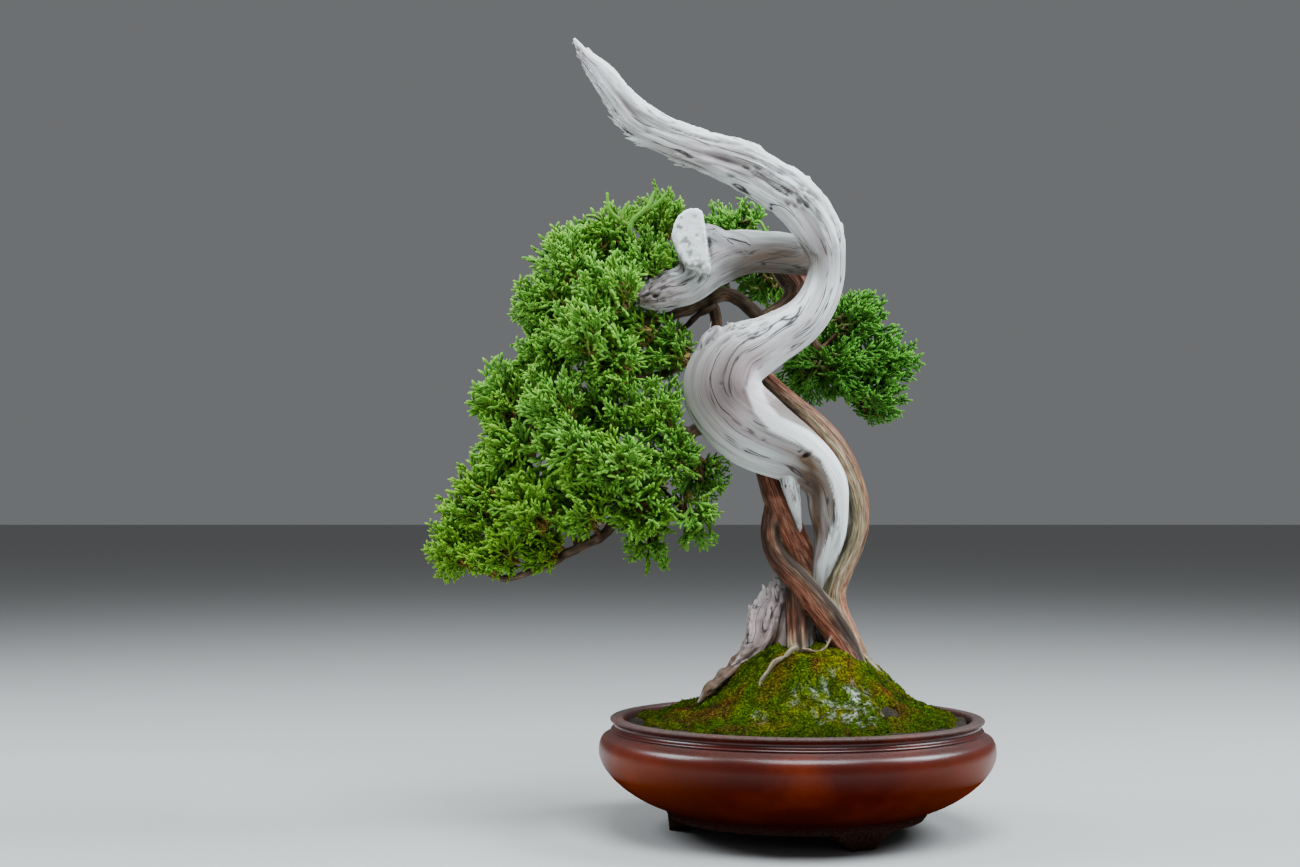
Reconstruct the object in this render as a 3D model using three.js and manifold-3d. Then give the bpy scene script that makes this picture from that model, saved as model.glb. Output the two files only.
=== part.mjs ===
// Itoigawa juniper bonsai: a silver S-shaped deadwood trunk with a strip of live bark winding up it,
// its scale-leaf foliage in tufts on thin branches, planted on a mossy mound in a round unglazed pot.
// Millimetres, +Z up, +X to the viewer's right, -Y towards the viewer. Places are given from the
// pot's axis at the level of its feet, and the whole part is then centred on its own outline.

import * as THREE from "three";
import { mergeVertices } from "three/addons/utils/BufferGeometryUtils.js";
import Module from "manifold-3d";

const wasm = await Module();
wasm.setup();

// Driving dimensions
const POT_HEIGHT = 52;
const LIP_RADIUS = 84.8;
const LIP_WIDTH = 6.2;
const BELLY_RADIUS = 90;
const BELLY_HEIGHT = 37;
const WALL = 6.4;
const RING_RADIUS = 59.2; // the turned ring under the bowl, which the feet grow from
const RING_HEIGHT = 7.2;
const FLOOR_UNDER = 8.5;
const FLOOR_TOP = 13.5;
const DRAIN_RADIUS = 12;
const POT_SIDES = 28;
const FOOT_ANGLES = [-64.5, 55.5, 175.5]; // degrees from +X, so that one foot stands front right
const FOOT_LENGTH = 32;
const FOOT_SOLE = 12;
const FOOT_INSIDE = 49;
const GAP = 0.35; // between pieces that touch on the real tree
const SCREEN_PITCH = 7.5;
const SCREEN_BAR = 2.2;
const SCREEN_HOLES = 4;
const SCREEN_THICKNESS = 0.8;
const WIRE_DIAMETER = 1.2;
const SOIL_EDGE = 48; // height of the soil just inside the lip
const MOUND_RISE = 35;
const MOUND_RADIUS = 40;
const MOUND_SHIFT = 4; // the mound's top lies this far to the right of the pot's axis
const CUSHION_HEIGHT = 1.1; // of the lumps that the moss grows over
const KNOT_RADIUS = 7; // a tuft's inner knot of old shoots, from whose faces the new shoots taper
const KNOT_ROUGHNESS = 0.2;
const SHORTEST_SHOOT = 3;
const SHOOT_SHARE = 0.7; // of the knot's faces, the others being gaps between shoots
const TWIG_CLEARANCE = 0.5; // radians round a tuft's own twig without shoots

const VIEWER = new THREE.Vector3(0, 1, 0);
const UP = new THREE.Vector3(0, 0, 1);

// Solids and booleans

function solid(geometry) {
  const bare = geometry.clone();
  for (const name of ["normal", "uv"]) bare.deleteAttribute(name);
  const merged = mergeVertices(bare, 1e-4);
  return new wasm.Manifold(
    new wasm.Mesh({
      numProp: 3,
      vertProperties: new Float32Array(merged.attributes.position.array),
      triVerts: new Uint32Array(merged.index.array),
    }),
  );
}

function join(solids) {
  return solids.reduce((whole, piece) => whole.add(piece));
}

// The largest body of a solid: loose scraps are dropped and sealed hollows are filled.
function largest(whole) {
  return whole.decompose().reduce((best, body) => (body.volume() > best.volume() ? body : best));
}

function geometryOf(whole) {
  const mesh = whole.getMesh();
  const geometry = new THREE.BufferGeometry();
  geometry.setAttribute("position", new THREE.BufferAttribute(mesh.vertProperties, 3));
  geometry.setIndex(new THREE.BufferAttribute(mesh.triVerts, 1));
  geometry.computeVertexNormals();
  return geometry;
}

function meshGeometry(points, faces) {
  const geometry = new THREE.BufferGeometry();
  geometry.setAttribute("position", new THREE.Float32BufferAttribute(points.flat(), 3));
  geometry.setIndex(faces.flat());
  return geometry;
}

// Faces of a closed tube of equal rings, with a centre point before the first and after the last.
// The points are the start centre, the rings in order and the end centre.
function tubeFaces(rings, sides) {
  const at = (ring, side) => 1 + ring * sides + (side % sides);
  const end = 1 + rings * sides;
  const faces = [];
  for (let side = 0; side < sides; side++) {
    faces.push([0, at(0, side + 1), at(0, side)]);
    for (let ring = 0; ring + 1 < rings; ring++) {
      faces.push([at(ring, side), at(ring, side + 1), at(ring + 1, side)]);
      faces.push([at(ring, side + 1), at(ring + 1, side + 1), at(ring + 1, side)]);
    }
    faces.push([end, at(rings - 1, side), at(rings - 1, side + 1)]);
  }
  return faces;
}

// A limb lofted through stations [x, y, z, width, thickness]. Its width lies across the viewer's
// sight and its thickness along it. Flutes are rounded grooves that wind round it, and swell makes
// the same limb fatter all over, to cut the seat that it stands in.
function limb(stations, { sides = 6, steps = 2, flutes = 0, groove = 0, wind = 0, swell = 0 } = {}) {
  const curve = (points) => new THREE.CatmullRomCurve3(points, false, "catmullrom", 0.5);
  const places = curve(stations.map(([x, y, z]) => new THREE.Vector3(x, y, z)));
  const spans = curve(stations.map(([, , , width, thickness]) => new THREE.Vector3(width, thickness, 0)));
  const rings = Math.round((stations.length - 1) * steps) + 1;
  const centres = Array.from({ length: rings }, (_, ring) => places.getPoint(ring / (rings - 1)));
  const chord = centres[rings - 1].clone().sub(centres[0]).normalize();
  const facing = Math.abs(chord.dot(VIEWER)) > 0.75 ? UP : VIEWER;
  const points = [];
  centres.forEach((centre, ring) => {
    const before = centres[Math.max(ring - 1, 0)];
    const after = centres[Math.min(ring + 1, rings - 1)];
    const along = after.clone().sub(before).normalize();
    const across = facing.clone().cross(along).normalize();
    const through = along.clone().cross(across);
    const span = spans.getPoint(ring / (rings - 1));
    const halfWidth = Math.max(span.x, 0.8) / 2 + swell;
    const halfThickness = Math.max(span.y, 0.8) / 2 + swell;
    const rounding = 0.4 * Math.min(halfWidth, halfThickness);
    if (ring === 0) points.push(centre.clone().addScaledVector(along, -rounding).toArray());
    for (let side = 0; side < sides; side++) {
      const angle = (side / sides) * 2 * Math.PI;
      const fluted = 1 + groove * Math.cos(flutes * angle + (wind * ring) / steps);
      const point = centre.clone();
      point.addScaledVector(across, halfWidth * fluted * Math.cos(angle));
      point.addScaledVector(through, halfThickness * fluted * Math.sin(angle));
      points.push(point.toArray());
    }
    if (ring === rings - 1) points.push(centre.clone().addScaledVector(along, rounding).toArray());
  });
  return solid(meshGeometry(points, tubeFaces(rings, sides)));
}

// A solid of rings round the Z axis. Each ring gives a radius and a height for an angle.
function turnedHeap(rings, sides, bottom, top) {
  const points = [[0, 0, bottom]];
  for (const ring of rings) {
    for (let side = 0; side < sides; side++) {
      const angle = (side / sides) * 2 * Math.PI;
      const [radius, height] = ring(angle);
      points.push([radius * Math.cos(angle), radius * Math.sin(angle), height]);
    }
  }
  points.push([0, 0, top]);
  return solid(meshGeometry(points, tubeFaces(rings.length, sides)));
}

// Pot, drain screen and its wire

function potProfile() {
  const path = new THREE.Path();
  const wallRadius = BELLY_RADIUS - WALL;
  const lipInside = LIP_RADIUS - LIP_WIDTH;
  path.moveTo(DRAIN_RADIUS, FLOOR_UNDER);
  path.lineTo(RING_RADIUS - 7, FLOOR_UNDER);
  path.lineTo(RING_RADIUS - 6, RING_HEIGHT);
  path.lineTo(RING_RADIUS - 1.2, RING_HEIGHT);
  path.lineTo(RING_RADIUS, RING_HEIGHT + 1.6);
  path.lineTo(RING_RADIUS - 0.6, RING_HEIGHT + 4);
  path.bezierCurveTo(RING_RADIUS + 11, 13, BELLY_RADIUS - 0.5, 25, BELLY_RADIUS, BELLY_HEIGHT);
  path.quadraticCurveTo(BELLY_RADIUS, BELLY_HEIGHT + 5, LIP_RADIUS - 1.2, POT_HEIGHT - 6.8);
  path.lineTo(LIP_RADIUS - 0.6, POT_HEIGHT - 5.4);
  path.lineTo(LIP_RADIUS - 1.9, POT_HEIGHT - 3.5);
  path.lineTo(LIP_RADIUS, POT_HEIGHT - 1.6);
  path.lineTo(LIP_RADIUS - 0.7, POT_HEIGHT);
  path.lineTo(lipInside + 0.8, POT_HEIGHT);
  path.lineTo(lipInside, POT_HEIGHT - 1);
  path.lineTo(lipInside, POT_HEIGHT - 6);
  path.lineTo(wallRadius, BELLY_HEIGHT + 4);
  path.lineTo(wallRadius, BELLY_HEIGHT - 1);
  path.lineTo(wallRadius - 6, FLOOR_TOP + 12.5);
  path.lineTo(RING_RADIUS + 5, FLOOR_TOP + 3);
  path.lineTo(RING_RADIUS - 6, FLOOR_TOP);
  path.lineTo(DRAIN_RADIUS, FLOOR_TOP);
  path.lineTo(DRAIN_RADIUS, FLOOR_UNDER);
  return path.getPoints(4);
}

// One cloud foot: a bracket whose ends curl in three lobes down to a flat sole.
function cloudFoot(degrees) {
  const half = FOOT_LENGTH / 2;
  const sole = FOOT_SOLE / 2;
  const lobe = (half - sole) / 3;
  const outline = new THREE.Shape();
  outline.moveTo(-half, RING_HEIGHT + 2);
  outline.lineTo(-half, RING_HEIGHT);
  outline.quadraticCurveTo(-half + lobe, RING_HEIGHT - 0.6, -half + lobe, RING_HEIGHT - 2.4);
  outline.quadraticCurveTo(-half + 2 * lobe, RING_HEIGHT - 3, -half + 2 * lobe, RING_HEIGHT - 5);
  outline.quadraticCurveTo(-sole - 0.4 * lobe, RING_HEIGHT - 5.2, -sole, 0);
  outline.lineTo(sole, 0);
  outline.quadraticCurveTo(sole + 0.4 * lobe, RING_HEIGHT - 5.2, half - 2 * lobe, RING_HEIGHT - 5);
  outline.quadraticCurveTo(half - 2 * lobe, RING_HEIGHT - 3, half - lobe, RING_HEIGHT - 2.4);
  outline.quadraticCurveTo(half - lobe, RING_HEIGHT - 0.6, half, RING_HEIGHT);
  outline.lineTo(half, RING_HEIGHT + 2);
  const depth = RING_RADIUS - 1.6 - FOOT_INSIDE;
  const geometry = new THREE.ExtrudeGeometry(outline, { depth, bevelEnabled: false, curveSegments: 2 });
  geometry.rotateX(Math.PI / 2);
  geometry.rotateZ(Math.PI / 2);
  geometry.translate(FOOT_INSIDE, 0, 0);
  geometry.rotateZ(THREE.MathUtils.degToRad(degrees));
  return solid(geometry);
}

function pot() {
  const bowl = new THREE.LatheGeometry(potProfile(), POT_SIDES);
  bowl.rotateX(Math.PI / 2);
  return join([solid(bowl), ...FOOT_ANGLES.map(cloudFoot)]);
}

function drainScreen() {
  const side = SCREEN_HOLES * SCREEN_PITCH + SCREEN_BAR;
  const hole = SCREEN_PITCH - SCREEN_BAR;
  let plate = solid(new THREE.BoxGeometry(side, side, SCREEN_THICKNESS));
  const reach = (SCREEN_HOLES - 1) / 2;
  for (let column = -reach; column <= reach; column++) {
    for (let row = -reach; row <= reach; row++) {
      const punch = new THREE.BoxGeometry(hole, hole, 2 * SCREEN_THICKNESS);
      plate = plate.subtract(solid(punch.translate(column * SCREEN_PITCH, row * SCREEN_PITCH, 0)));
    }
  }
  return plate.translate([0, 0, FLOOR_TOP + GAP + SCREEN_THICKNESS / 2]);
}

// The wire that holds the screen: over it, down through the drain hole and out under the floor.
function screenWire(swell = 0) {
  const radius = WIRE_DIAMETER / 2;
  const high = FLOOR_TOP + SCREEN_THICKNESS + 2 * GAP + radius;
  const low = FLOOR_UNDER - GAP - radius;
  const thick = 2 * (radius + swell);
  const leg = SCREEN_PITCH / 2; // both ways from the middle, through the middle of a hole
  const half = [
    [leg - 1, high],
    [leg, high - 1],
    [leg, low + 1],
    [leg + 1, low],
    [DRAIN_RADIUS + 4, low],
  ];
  const right = half.map(([x, z]) => [x, leg, z, thick, thick]);
  const left = half.map(([x, z]) => [-x, leg, z, thick, thick]).reverse();
  return limb([...left, ...right], { sides: 6, steps: 1 });
}

// Soil, mounded up round the roots

const MOUND_SIDES = 24;

// The mound with the low cushions, of two sizes, that moss makes of it.
function moundHeight(x, y) {
  const radius = Math.hypot(x - MOUND_SHIFT, y);
  const large = Math.sin(x / 6.1 + 0.8) * Math.cos(y / 5.3 - 0.4);
  const small = Math.sin(x / 3.1 - y / 4.7) * Math.sin(y / 2.9 + 1.3);
  const cushions = CUSHION_HEIGHT * (large + 0.45 * small);
  return SOIL_EDGE + MOUND_RISE / (1 + (radius / MOUND_RADIUS) ** 4.2) + cushions;
}

function soil() {
  const fit = 3 * GAP;
  const wallRadius = BELLY_RADIUS - WALL - fit;
  const lipInside = LIP_RADIUS - LIP_WIDTH - fit;
  const bottom = FLOOR_TOP + SCREEN_THICKNESS + 2 * GAP;
  const buried = [
    [RING_RADIUS - 8, bottom],
    [RING_RADIUS + 3, bottom + 3],
    [wallRadius - 7, bottom + 12.5],
    [wallRadius, BELLY_HEIGHT - 0.5],
    [wallRadius, BELLY_HEIGHT + 3],
    [lipInside, POT_HEIGHT - 7],
    [lipInside, SOIL_EDGE - 1],
  ];
  const mounded = [70, 61, 52, 44, 36, 27, 17, 8].map((radius) => (angle) => [
    radius,
    moundHeight(radius * Math.cos(angle), radius * Math.sin(angle)),
  ]);
  const rings = [...buried.map((place) => () => place), ...mounded];
  return turnedHeap(rings, MOUND_SIDES, bottom, moundHeight(0, 0));
}

// Deadwood: the bleached trunk that ends in the long top snag, the side snag behind it, and the old
// rootwood at the left. Each row is [x, y, z, width, thickness].

const TRUNK = [
  [9.5, 6, 100, 8, 10],
  [11.5, 5, 109, 10, 12],
  [12.5, 3, 120, 11, 13],
  [15, 0, 134, 14, 15],
  [14.5, -2, 146, 17.5, 17],
  [12.5, -4, 159, 20, 18],
  [1.5, -6, 170, 26, 20],
  [-18, -10, 182, 35, 22],
  [-30, -13, 193, 35, 23],
  [-33.5, -15, 203, 35, 23],
  [-27.5, -13, 214, 31, 21],
  [-13.5, -10, 222, 24, 19],
  [2, -6, 232, 20, 18],
  [10.5, -3, 244, 18, 17],
  [13.5, -2, 258, 17, 16],
  [10.5, -2, 271, 21, 17],
  [1, -2, 285, 22, 16],
  [-12.5, -3, 295, 21.5, 15],
  [-27, -5, 303, 21, 14],
  [-44, -7, 309, 18, 13],
  [-58.5, -8, 315, 16.5, 12],
  [-71, -9, 322, 17, 11],
  [-81, -10, 333, 12.5, 9],
  [-89, -11, 343, 10, 7],
  [-95.5, -12, 350, 6, 5],
  [-101, -12, 358, 1.6, 2],
];

// The strip beside the long slit in the lower trunk.
const SLIT_STRIP = [
  [-3, -5, 173, 14, 10],
  [-3.8, -8, 160, 9, 8],
  [-1.6, -7, 150, 6.5, 6],
  [0, -6, 143, 4, 4],
  [1.5, -4, 137, 2.4, 2.5],
];

const SIDE_SNAG = [
  [12, -1, 259, 14, 14],
  [4, 7, 262, 17.5, 14],
  [-6.5, 12, 264.5, 19, 15],
  [-19.5, 13, 265, 20, 16],
  [-30.5, 11, 263, 23, 17],
  [-40, 7, 258.5, 24.5, 18],
  [-48.5, 3, 250, 19.5, 16],
  [-57.5, 0, 246.5, 17.5, 15],
  [-65.5, -3, 243.5, 14.5, 13],
  [-72.5, -5, 242, 7.5, 8],
];

// The sawn stub that stands up in front of the side snag.
const SNAG_STUB = [
  [-44.5, -1, 254, 12, 12],
  [-46.5, -5, 261, 14, 14],
  [-48, -6, 269, 15, 15],
  [-47.5, -4, 278, 14.5, 14],
];

const SNAG_SPURS = [
  [
    [-84, -10, 338, 6, 5],
    [-90.5, -9, 347, 4, 4],
    [-95, -9, 354.5, 1.4, 1.6],
  ],
  [
    [-66, -9, 317, 8, 8],
    [-73, -8, 315, 5, 6],
    [-77.5, -8, 317, 2, 2.4],
  ],
  [
    [-50, -7, 307, 8, 8],
    [-57, -6, 303.5, 4.4, 5],
    [-60.5, -6, 304, 1.6, 2],
  ],
  [
    [-14, -4, 300, 9, 8],
    [-18.5, -4, 308, 5, 5],
    [-22, -4, 311.5, 2, 2.4],
  ],
];

const ROOTWOOD = [
  [-5.5, 3, 116, 5, 6],
  [-8.5, 2, 107, 12, 9],
  [-12.5, 1, 97.5, 17, 13],
  [-15, -2, 88, 16, 13],
  [-21.5, -5, 80, 12, 11],
  [-29, -9, 74.5, 8.5, 9],
  [-36.5, -13, 70, 6.5, 7],
  [-44, -17, 63, 4, 5],
];

const ROOTWOOD_SPURS = [
  [
    [-12, 0, 103, 7, 7],
    [-15.5, 0, 108.5, 4.5, 4],
    [-16.5, 0, 113, 1.4, 1.6],
  ],
  [
    [-16, 0, 92, 8, 8],
    [-20.5, 0, 98, 6, 6],
    [-21.5, 0, 102, 2.4, 3],
  ],
];

// The heart of the stump, which joins the strands and stands in the soil.
const STUMP = [
  [9, 6, 108, 13, 15],
  [4, 6, 98, 20, 20],
  [1, 5, 87, 25, 24],
  [1, 3, 74, 31, 29],
  [1, 2, 60, 34, 32],
];

function deadwoodLimbs(swell = 0) {
  return [
    limb(TRUNK, { sides: 11, steps: 1.5, flutes: 3, groove: 0.06, wind: 0.45, swell }),
    limb(SLIT_STRIP, { sides: 6, steps: 1, swell }),
    limb(SIDE_SNAG, { sides: 9, steps: 1, flutes: 3, groove: 0.05, wind: 0.3, swell }),
    limb(SNAG_STUB, { sides: 7, steps: 1, swell }),
    ...SNAG_SPURS.map((spur) => limb(spur, { sides: 4, steps: 1, swell })),
    limb(ROOTWOOD, { sides: 9, steps: 1, flutes: 4, groove: 0.12, wind: 0.2, swell }),
    ...ROOTWOOD_SPURS.map((spur) => limb(spur, { sides: 4, steps: 1, swell })),
    limb(STUMP, { sides: 9, steps: 1, flutes: 4, groove: 0.06, swell }),
  ];
}

// Live wood: the strips of living bark from the roots up, and the branches that they feed.

const BACK_VEIN = [
  [-7, 33, 266, 9, 9],
  [-3, 27, 259, 12, 11],
  [2.5, 25, 251, 13, 11],
  [-1, 22, 242, 10, 10],
  [-13.5, 20, 233, 9.5, 10],
  [-21, 16, 222, 9.5, 10],
  [-17.5, 11, 211.5, 8.5, 10],
  [-9.5, 7, 202.5, 7.5, 10],
  [-1, 4.5, 194.5, 8, 11],
  [8.5, 3, 186, 9.5, 12],
  [17, 3, 176, 10.5, 12],
  [24, 3, 164, 10, 12],
  [28.5, 3, 150.5, 9.5, 11],
  [29, 3, 139, 9, 11],
  [26, 2, 128.5, 9, 11],
  [21.5, 0, 119.5, 9.5, 11],
  [17.5, -2, 110, 10.5, 12],
  [17.5, -2, 101, 12.5, 13],
  [21.5, -1, 90.5, 13, 14],
  [26.5, 1, 81, 12, 13],
  [33, 4, 70, 9, 10],
];

const LEFT_VEIN = [
  [-34, 12, 186, 8, 8],
  [-23, 9, 179.5, 8, 8],
  [-15.5, 3, 169, 8.5, 9],
  [-12, 1, 159.5, 10, 9],
  [-9, 0, 150.5, 11.5, 10],
  [-5.5, 0, 141.5, 13.5, 11],
  [-1.5, 1, 132, 13.5, 11],
  [3.5, 3, 123, 11, 10],
  [8, 4, 114, 9, 9],
];

const CROSSING_VEIN = [
  [-10, 0, 142, 8, 8],
  [-12, -5, 132.5, 8, 9],
  [-8, -8, 123.5, 10, 10],
  [0, -9, 114.5, 11, 11],
  [7.5, -9, 105, 12, 11],
  [14.5, -9, 95.5, 12.5, 11],
  [20.5, -10, 86, 11, 11],
  [25.5, -13, 77, 8.5, 9],
  [30, -17, 67, 6, 7],
  [33, -20, 60, 4, 5],
];

const MIDDLE_ROOT = [
  [-1.5, -7, 115, 6, 7],
  [-1, -8, 105, 8, 8],
  [-0.5, -9.5, 94, 8.5, 8],
  [-0.5, -12, 84, 8.5, 8],
  [-0.5, -14, 72, 8, 8],
];

const SURFACE_ROOTS = [
  [
    [0, -13, 84, 4.5, 4.5],
    [-5, -19, 82.5, 3.2, 3.2],
    [-12, -24, 78, 3, 3],
    [-17, -29, 71, 2.6, 2.6],
    [-19.5, -33, 62, 2, 2],
  ],
  [
    [1, -14, 83, 3.4, 3.4],
    [6, -18.5, 83, 2.2, 2.2],
    [11, -18, 84.5, 2, 2],
    [15, -12.5, 90, 2, 2],
  ],
  [
    [24, -4, 82, 7, 7],
    [34, -6, 74.5, 4.6, 5],
    [42, -7, 66, 3, 3.4],
  ],
  [
    [2, 12, 80, 10, 10],
    [-6, 24, 77, 6.5, 6.5],
    [-13, 35, 68.5, 4.4, 4.4],
    [-18, 43, 60, 2.6, 2.6],
  ],
];

// Each branch leaves the live bark, and carries the tufts [x, y, z, radius] listed with it.
const BRANCHES = {
  lower: {
    route: [
      [-34, 12, 186, 8, 8],
      [-48, 6, 181, 6.5, 6.5],
      [-64, 0, 164, 6, 6],
      [-78, -4, 148, 5.5, 5.5],
      [-87, -6, 135.5, 5, 5],
      [-101, -6, 128, 4.4, 4.4],
      [-114, -5, 121, 3.8, 3.8],
      [-128, -4, 115.5, 3.2, 3.2],
      [-138, -2, 116, 2.6, 2.6],
      [-149, 0, 123, 2, 2],
    ],
    tufts: [
      [-83, -26, 167, 16],
      [-60, -17, 170, 15.5],
      [-43, -6, 160, 14.5],
      [-146, -4, 150, 17.5],
      [-122, -22, 147, 16.5],
      [-98, -20, 148, 16],
      [-73, -18, 147, 16],
      [-49, -8, 141, 16],
      [-157, 0, 129, 16],
      [-136, -13, 127, 14.5],
      [-116, -10, 131, 13],
      [-66, 0, 130, 13.5],
      [-137, 24, 154, 17.5],
      [-107, 24, 150, 17.5],
      [-72, 22, 155, 17],
    ],
  },
  middle: {
    route: [
      [-48, 6, 181, 6, 6],
      [-67, 3, 185, 5, 5],
      [-88, 1, 187, 4.4, 4.4],
      [-111, 0, 184, 3.6, 3.6],
      [-131, 0, 182, 2.6, 2.6],
    ],
    tufts: [
      [-134, 0, 198, 17],
      [-110, -20, 195, 16],
      [-87, -9, 190, 15.5],
      [-64, -12, 191, 15.5],
      [-132, -8, 171, 16.5],
      [-106, -24, 171, 16],
      [-126, 28, 190, 17.5],
      [-95, 31, 182, 18],
    ],
  },
  upper: {
    route: [
      [-1, 25, 249, 8, 8],
      [-16, 27, 251, 6.6, 6.6],
      [-33, 23, 247, 6, 6],
      [-48, 15, 239, 5.4, 5.4],
      [-64, 6, 233, 4.8, 4.8],
      [-80, 2, 229, 4, 4],
      [-92, -3, 227, 3.4, 3.4],
      [-104, -5, 231, 2.8, 2.8],
    ],
    tufts: [
      [-107, -2, 259, 16],
      [-86, -14, 246, 16],
      [-115, -4, 239, 16],
      [-98, -24, 226, 15.5],
      [-74, 5, 232, 15],
      [-112, 30, 232, 17.5],
    ],
  },
  inner: {
    route: [
      [-34, 22, 247, 5.6, 5.6],
      [-35, 20, 230, 5, 5],
      [-48, 15, 215, 4.4, 4.4],
      [-67, 8, 207, 3.8, 3.8],
      [-88, 3, 205, 3, 3],
      [-104, -2, 209, 2.4, 2.4],
    ],
    tufts: [
      [-114, -6, 217, 16],
      [-85, -16, 212, 16],
      [-60, 7, 219, 15],
      [-80, 32, 214, 17.5],
    ],
  },
  crown: {
    route: [
      [-42, 18, 242, 4.6, 4.6],
      [-58, 22, 255, 4, 4],
      [-70, 18, 265, 3.4, 3.4],
      [-83, 12, 268, 2.8, 2.8],
    ],
    tufts: [
      [-63, 12, 282, 14.5],
      [-90, 8, 273, 15.5],
      [-70, 0, 261, 14],
      [-91, 32, 262, 16.5],
      [-58, 34, 262, 15],
    ],
  },
  back: {
    route: [
      [-6, 30, 262, 7, 7],
      [-9, 42, 264, 4.6, 4.6],
      [-15, 50, 268, 3.6, 3.6],
      [-22, 54, 274, 2.6, 2.6],
    ],
    tufts: [
      [-26, 47, 283, 15],
      [-12, 60, 259, 16.5],
      [-38, 56, 262, 15],
    ],
  },
  right: {
    route: [
      [-2, 22, 242, 7, 7],
      [8, 35, 230, 5, 5],
      [20, 43, 213, 4.2, 4.2],
      [31, 44, 200, 3.4, 3.4],
      [38, 41, 190, 2, 2],
    ],
    tufts: [
      [33, 43, 236, 16],
      [47, 45, 217, 16.5],
      [27, 32, 211, 15],
      [10, 44, 209, 16],
      [43, 40, 200, 14],
      [26, 64, 224, 17],
    ],
  },
};

function pointsAlong(route, count = 24) {
  const places = route.map(([x, y, z]) => new THREE.Vector3(x, y, z));
  return new THREE.CatmullRomCurve3(places, false, "catmullrom", 0.5).getPoints(count);
}

// A tuft's twig leaves its branch at the nearest point.
function twigRoot(route, [x, y, z]) {
  const centre = new THREE.Vector3(x, y, z);
  return pointsAlong(route).reduce((best, point) =>
    point.distanceTo(centre) < best.distanceTo(centre) ? point : best,
  );
}

// The twig runs from there to the tuft's knot.
function twig(route, tuft, swell) {
  const centre = new THREE.Vector3(...tuft.slice(0, 3));
  const root = twigRoot(route, tuft);
  const end = root.clone().sub(centre).setLength(KNOT_RADIUS + 2 * GAP).add(centre);
  const station = (point, thick) => [...point.toArray(), thick, thick];
  return limb([station(root, 2.8), station(end, 1.8)], { sides: 3, steps: 1, swell });
}

function liveLimbs(swell = 0) {
  const branches = Object.values(BRANCHES);
  return [
    limb(BACK_VEIN, { sides: 8, steps: 1, swell }),
    limb(LEFT_VEIN, { sides: 7, steps: 1, swell }),
    limb(CROSSING_VEIN, { sides: 7, steps: 1, swell }),
    limb(MIDDLE_ROOT, { sides: 6, steps: 1, swell }),
    ...SURFACE_ROOTS.map((root) => limb(root, { sides: 4, steps: 1, swell })),
    ...branches.map(({ route }) => limb(route, { sides: 5, steps: 1, swell })),
    ...branches.flatMap(({ route, tufts }) => tufts.map((tuft) => twig(route, tuft, swell))),
  ];
}

// Foliage

function seededRandom(seed) {
  let state = seed;
  return () => {
    state = (Math.imul(state, 1664525) + 1013904223) >>> 0;
    return state / 2 ** 32;
  };
}

// A tuft: a small knot with a pointed three-sided shoot on every face that has room for one. It
// keeps to its own side of the planes half way to its neighbours, so no tuft reaches into another.
function tuftSolid([x, y, z, radius], route, others, random) {
  const centre = new THREE.Vector3(x, y, z);
  const walls = others.map(([otherX, otherY, otherZ, otherRadius]) => {
    const away = new THREE.Vector3(otherX, otherY, otherZ).sub(centre);
    const distance = away.length();
    const middle = (distance ** 2 + radius ** 2 - otherRadius ** 2) / (2 * distance);
    return { normal: away.normalize(), middle: middle - GAP / 2 };
  });
  const reach = (direction) =>
    walls.reduce((least, { normal, middle }) => {
      const slope = normal.dot(direction);
      return slope > 1e-6 ? Math.min(least, middle / slope) : least;
    }, radius);

  // The knot is a rough ball, turned so that one of its corners meets the end of the twig.
  const ball = new THREE.IcosahedronGeometry(1, 1).deleteAttribute("normal").deleteAttribute("uv");
  const knot = mergeVertices(ball, 1e-4);
  const places = knot.getAttribute("position");
  const towardsTwig = twigRoot(route, [x, y, z]).sub(centre).normalize();
  const firstCorner = new THREE.Vector3().fromBufferAttribute(places, 0);
  knot.applyQuaternion(new THREE.Quaternion().setFromUnitVectors(firstCorner, towardsTwig));
  const directions = [];
  const points = [];
  for (let i = 0; i < places.count; i++) {
    const direction = new THREE.Vector3().fromBufferAttribute(places, i);
    const rough = i === 0 ? 0 : KNOT_ROUGHNESS;
    direction.x += 0.8 * rough * (random() - 0.5);
    direction.y += 0.8 * rough * (random() - 0.5);
    direction.z += 0.8 * rough * (random() - 0.5);
    direction.normalize();
    const length = Math.min(KNOT_RADIUS * (1 + rough * (2 * random() - 1)), reach(direction));
    directions.push(direction);
    points.push(centre.clone().addScaledVector(direction, length).toArray());
  }
  const faces = [];
  const corners = knot.getIndex().array;
  for (let i = 0; i < corners.length; i += 3) {
    const [a, b, c] = corners.slice(i, i + 3);
    const direction = new THREE.Vector3();
    for (const corner of [a, b, c]) direction.addScaledVector(directions[corner], 0.6 + 0.8 * random());
    direction.normalize();
    const length = reach(direction) * (0.72 + 0.28 * Math.sqrt(random()));
    const cramped = length < KNOT_RADIUS + SHORTEST_SHOOT;
    if (cramped || direction.angleTo(towardsTwig) < TWIG_CLEARANCE || random() > SHOOT_SHARE) {
      faces.push([a, b, c]);
      continue;
    }
    const tip = points.push(centre.clone().addScaledVector(direction, length).toArray()) - 1;
    faces.push([a, b, tip], [b, c, tip], [c, a, tip]);
  }
  return solid(meshGeometry(points, faces));
}

// Materials

function finish(color, roughness, metalness = 0) {
  return new THREE.MeshStandardMaterial({ color, roughness, metalness });
}

const clay = finish(0x6b2f1a, 0.45);
const mossyEarth = finish(0x5d6420, 1);
const silverWood = finish(0xcfc8bf, 0.8);
const redBark = finish(0x8a5a3c, 0.85);
const scaleLeaf = finish(0x5fa02c, 0.7);
const meshPlastic = finish(0x2a2c2a, 0.6);
const bareAluminium = finish(0xb4b6b8, 0.4, 1);

// Assembly

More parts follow.
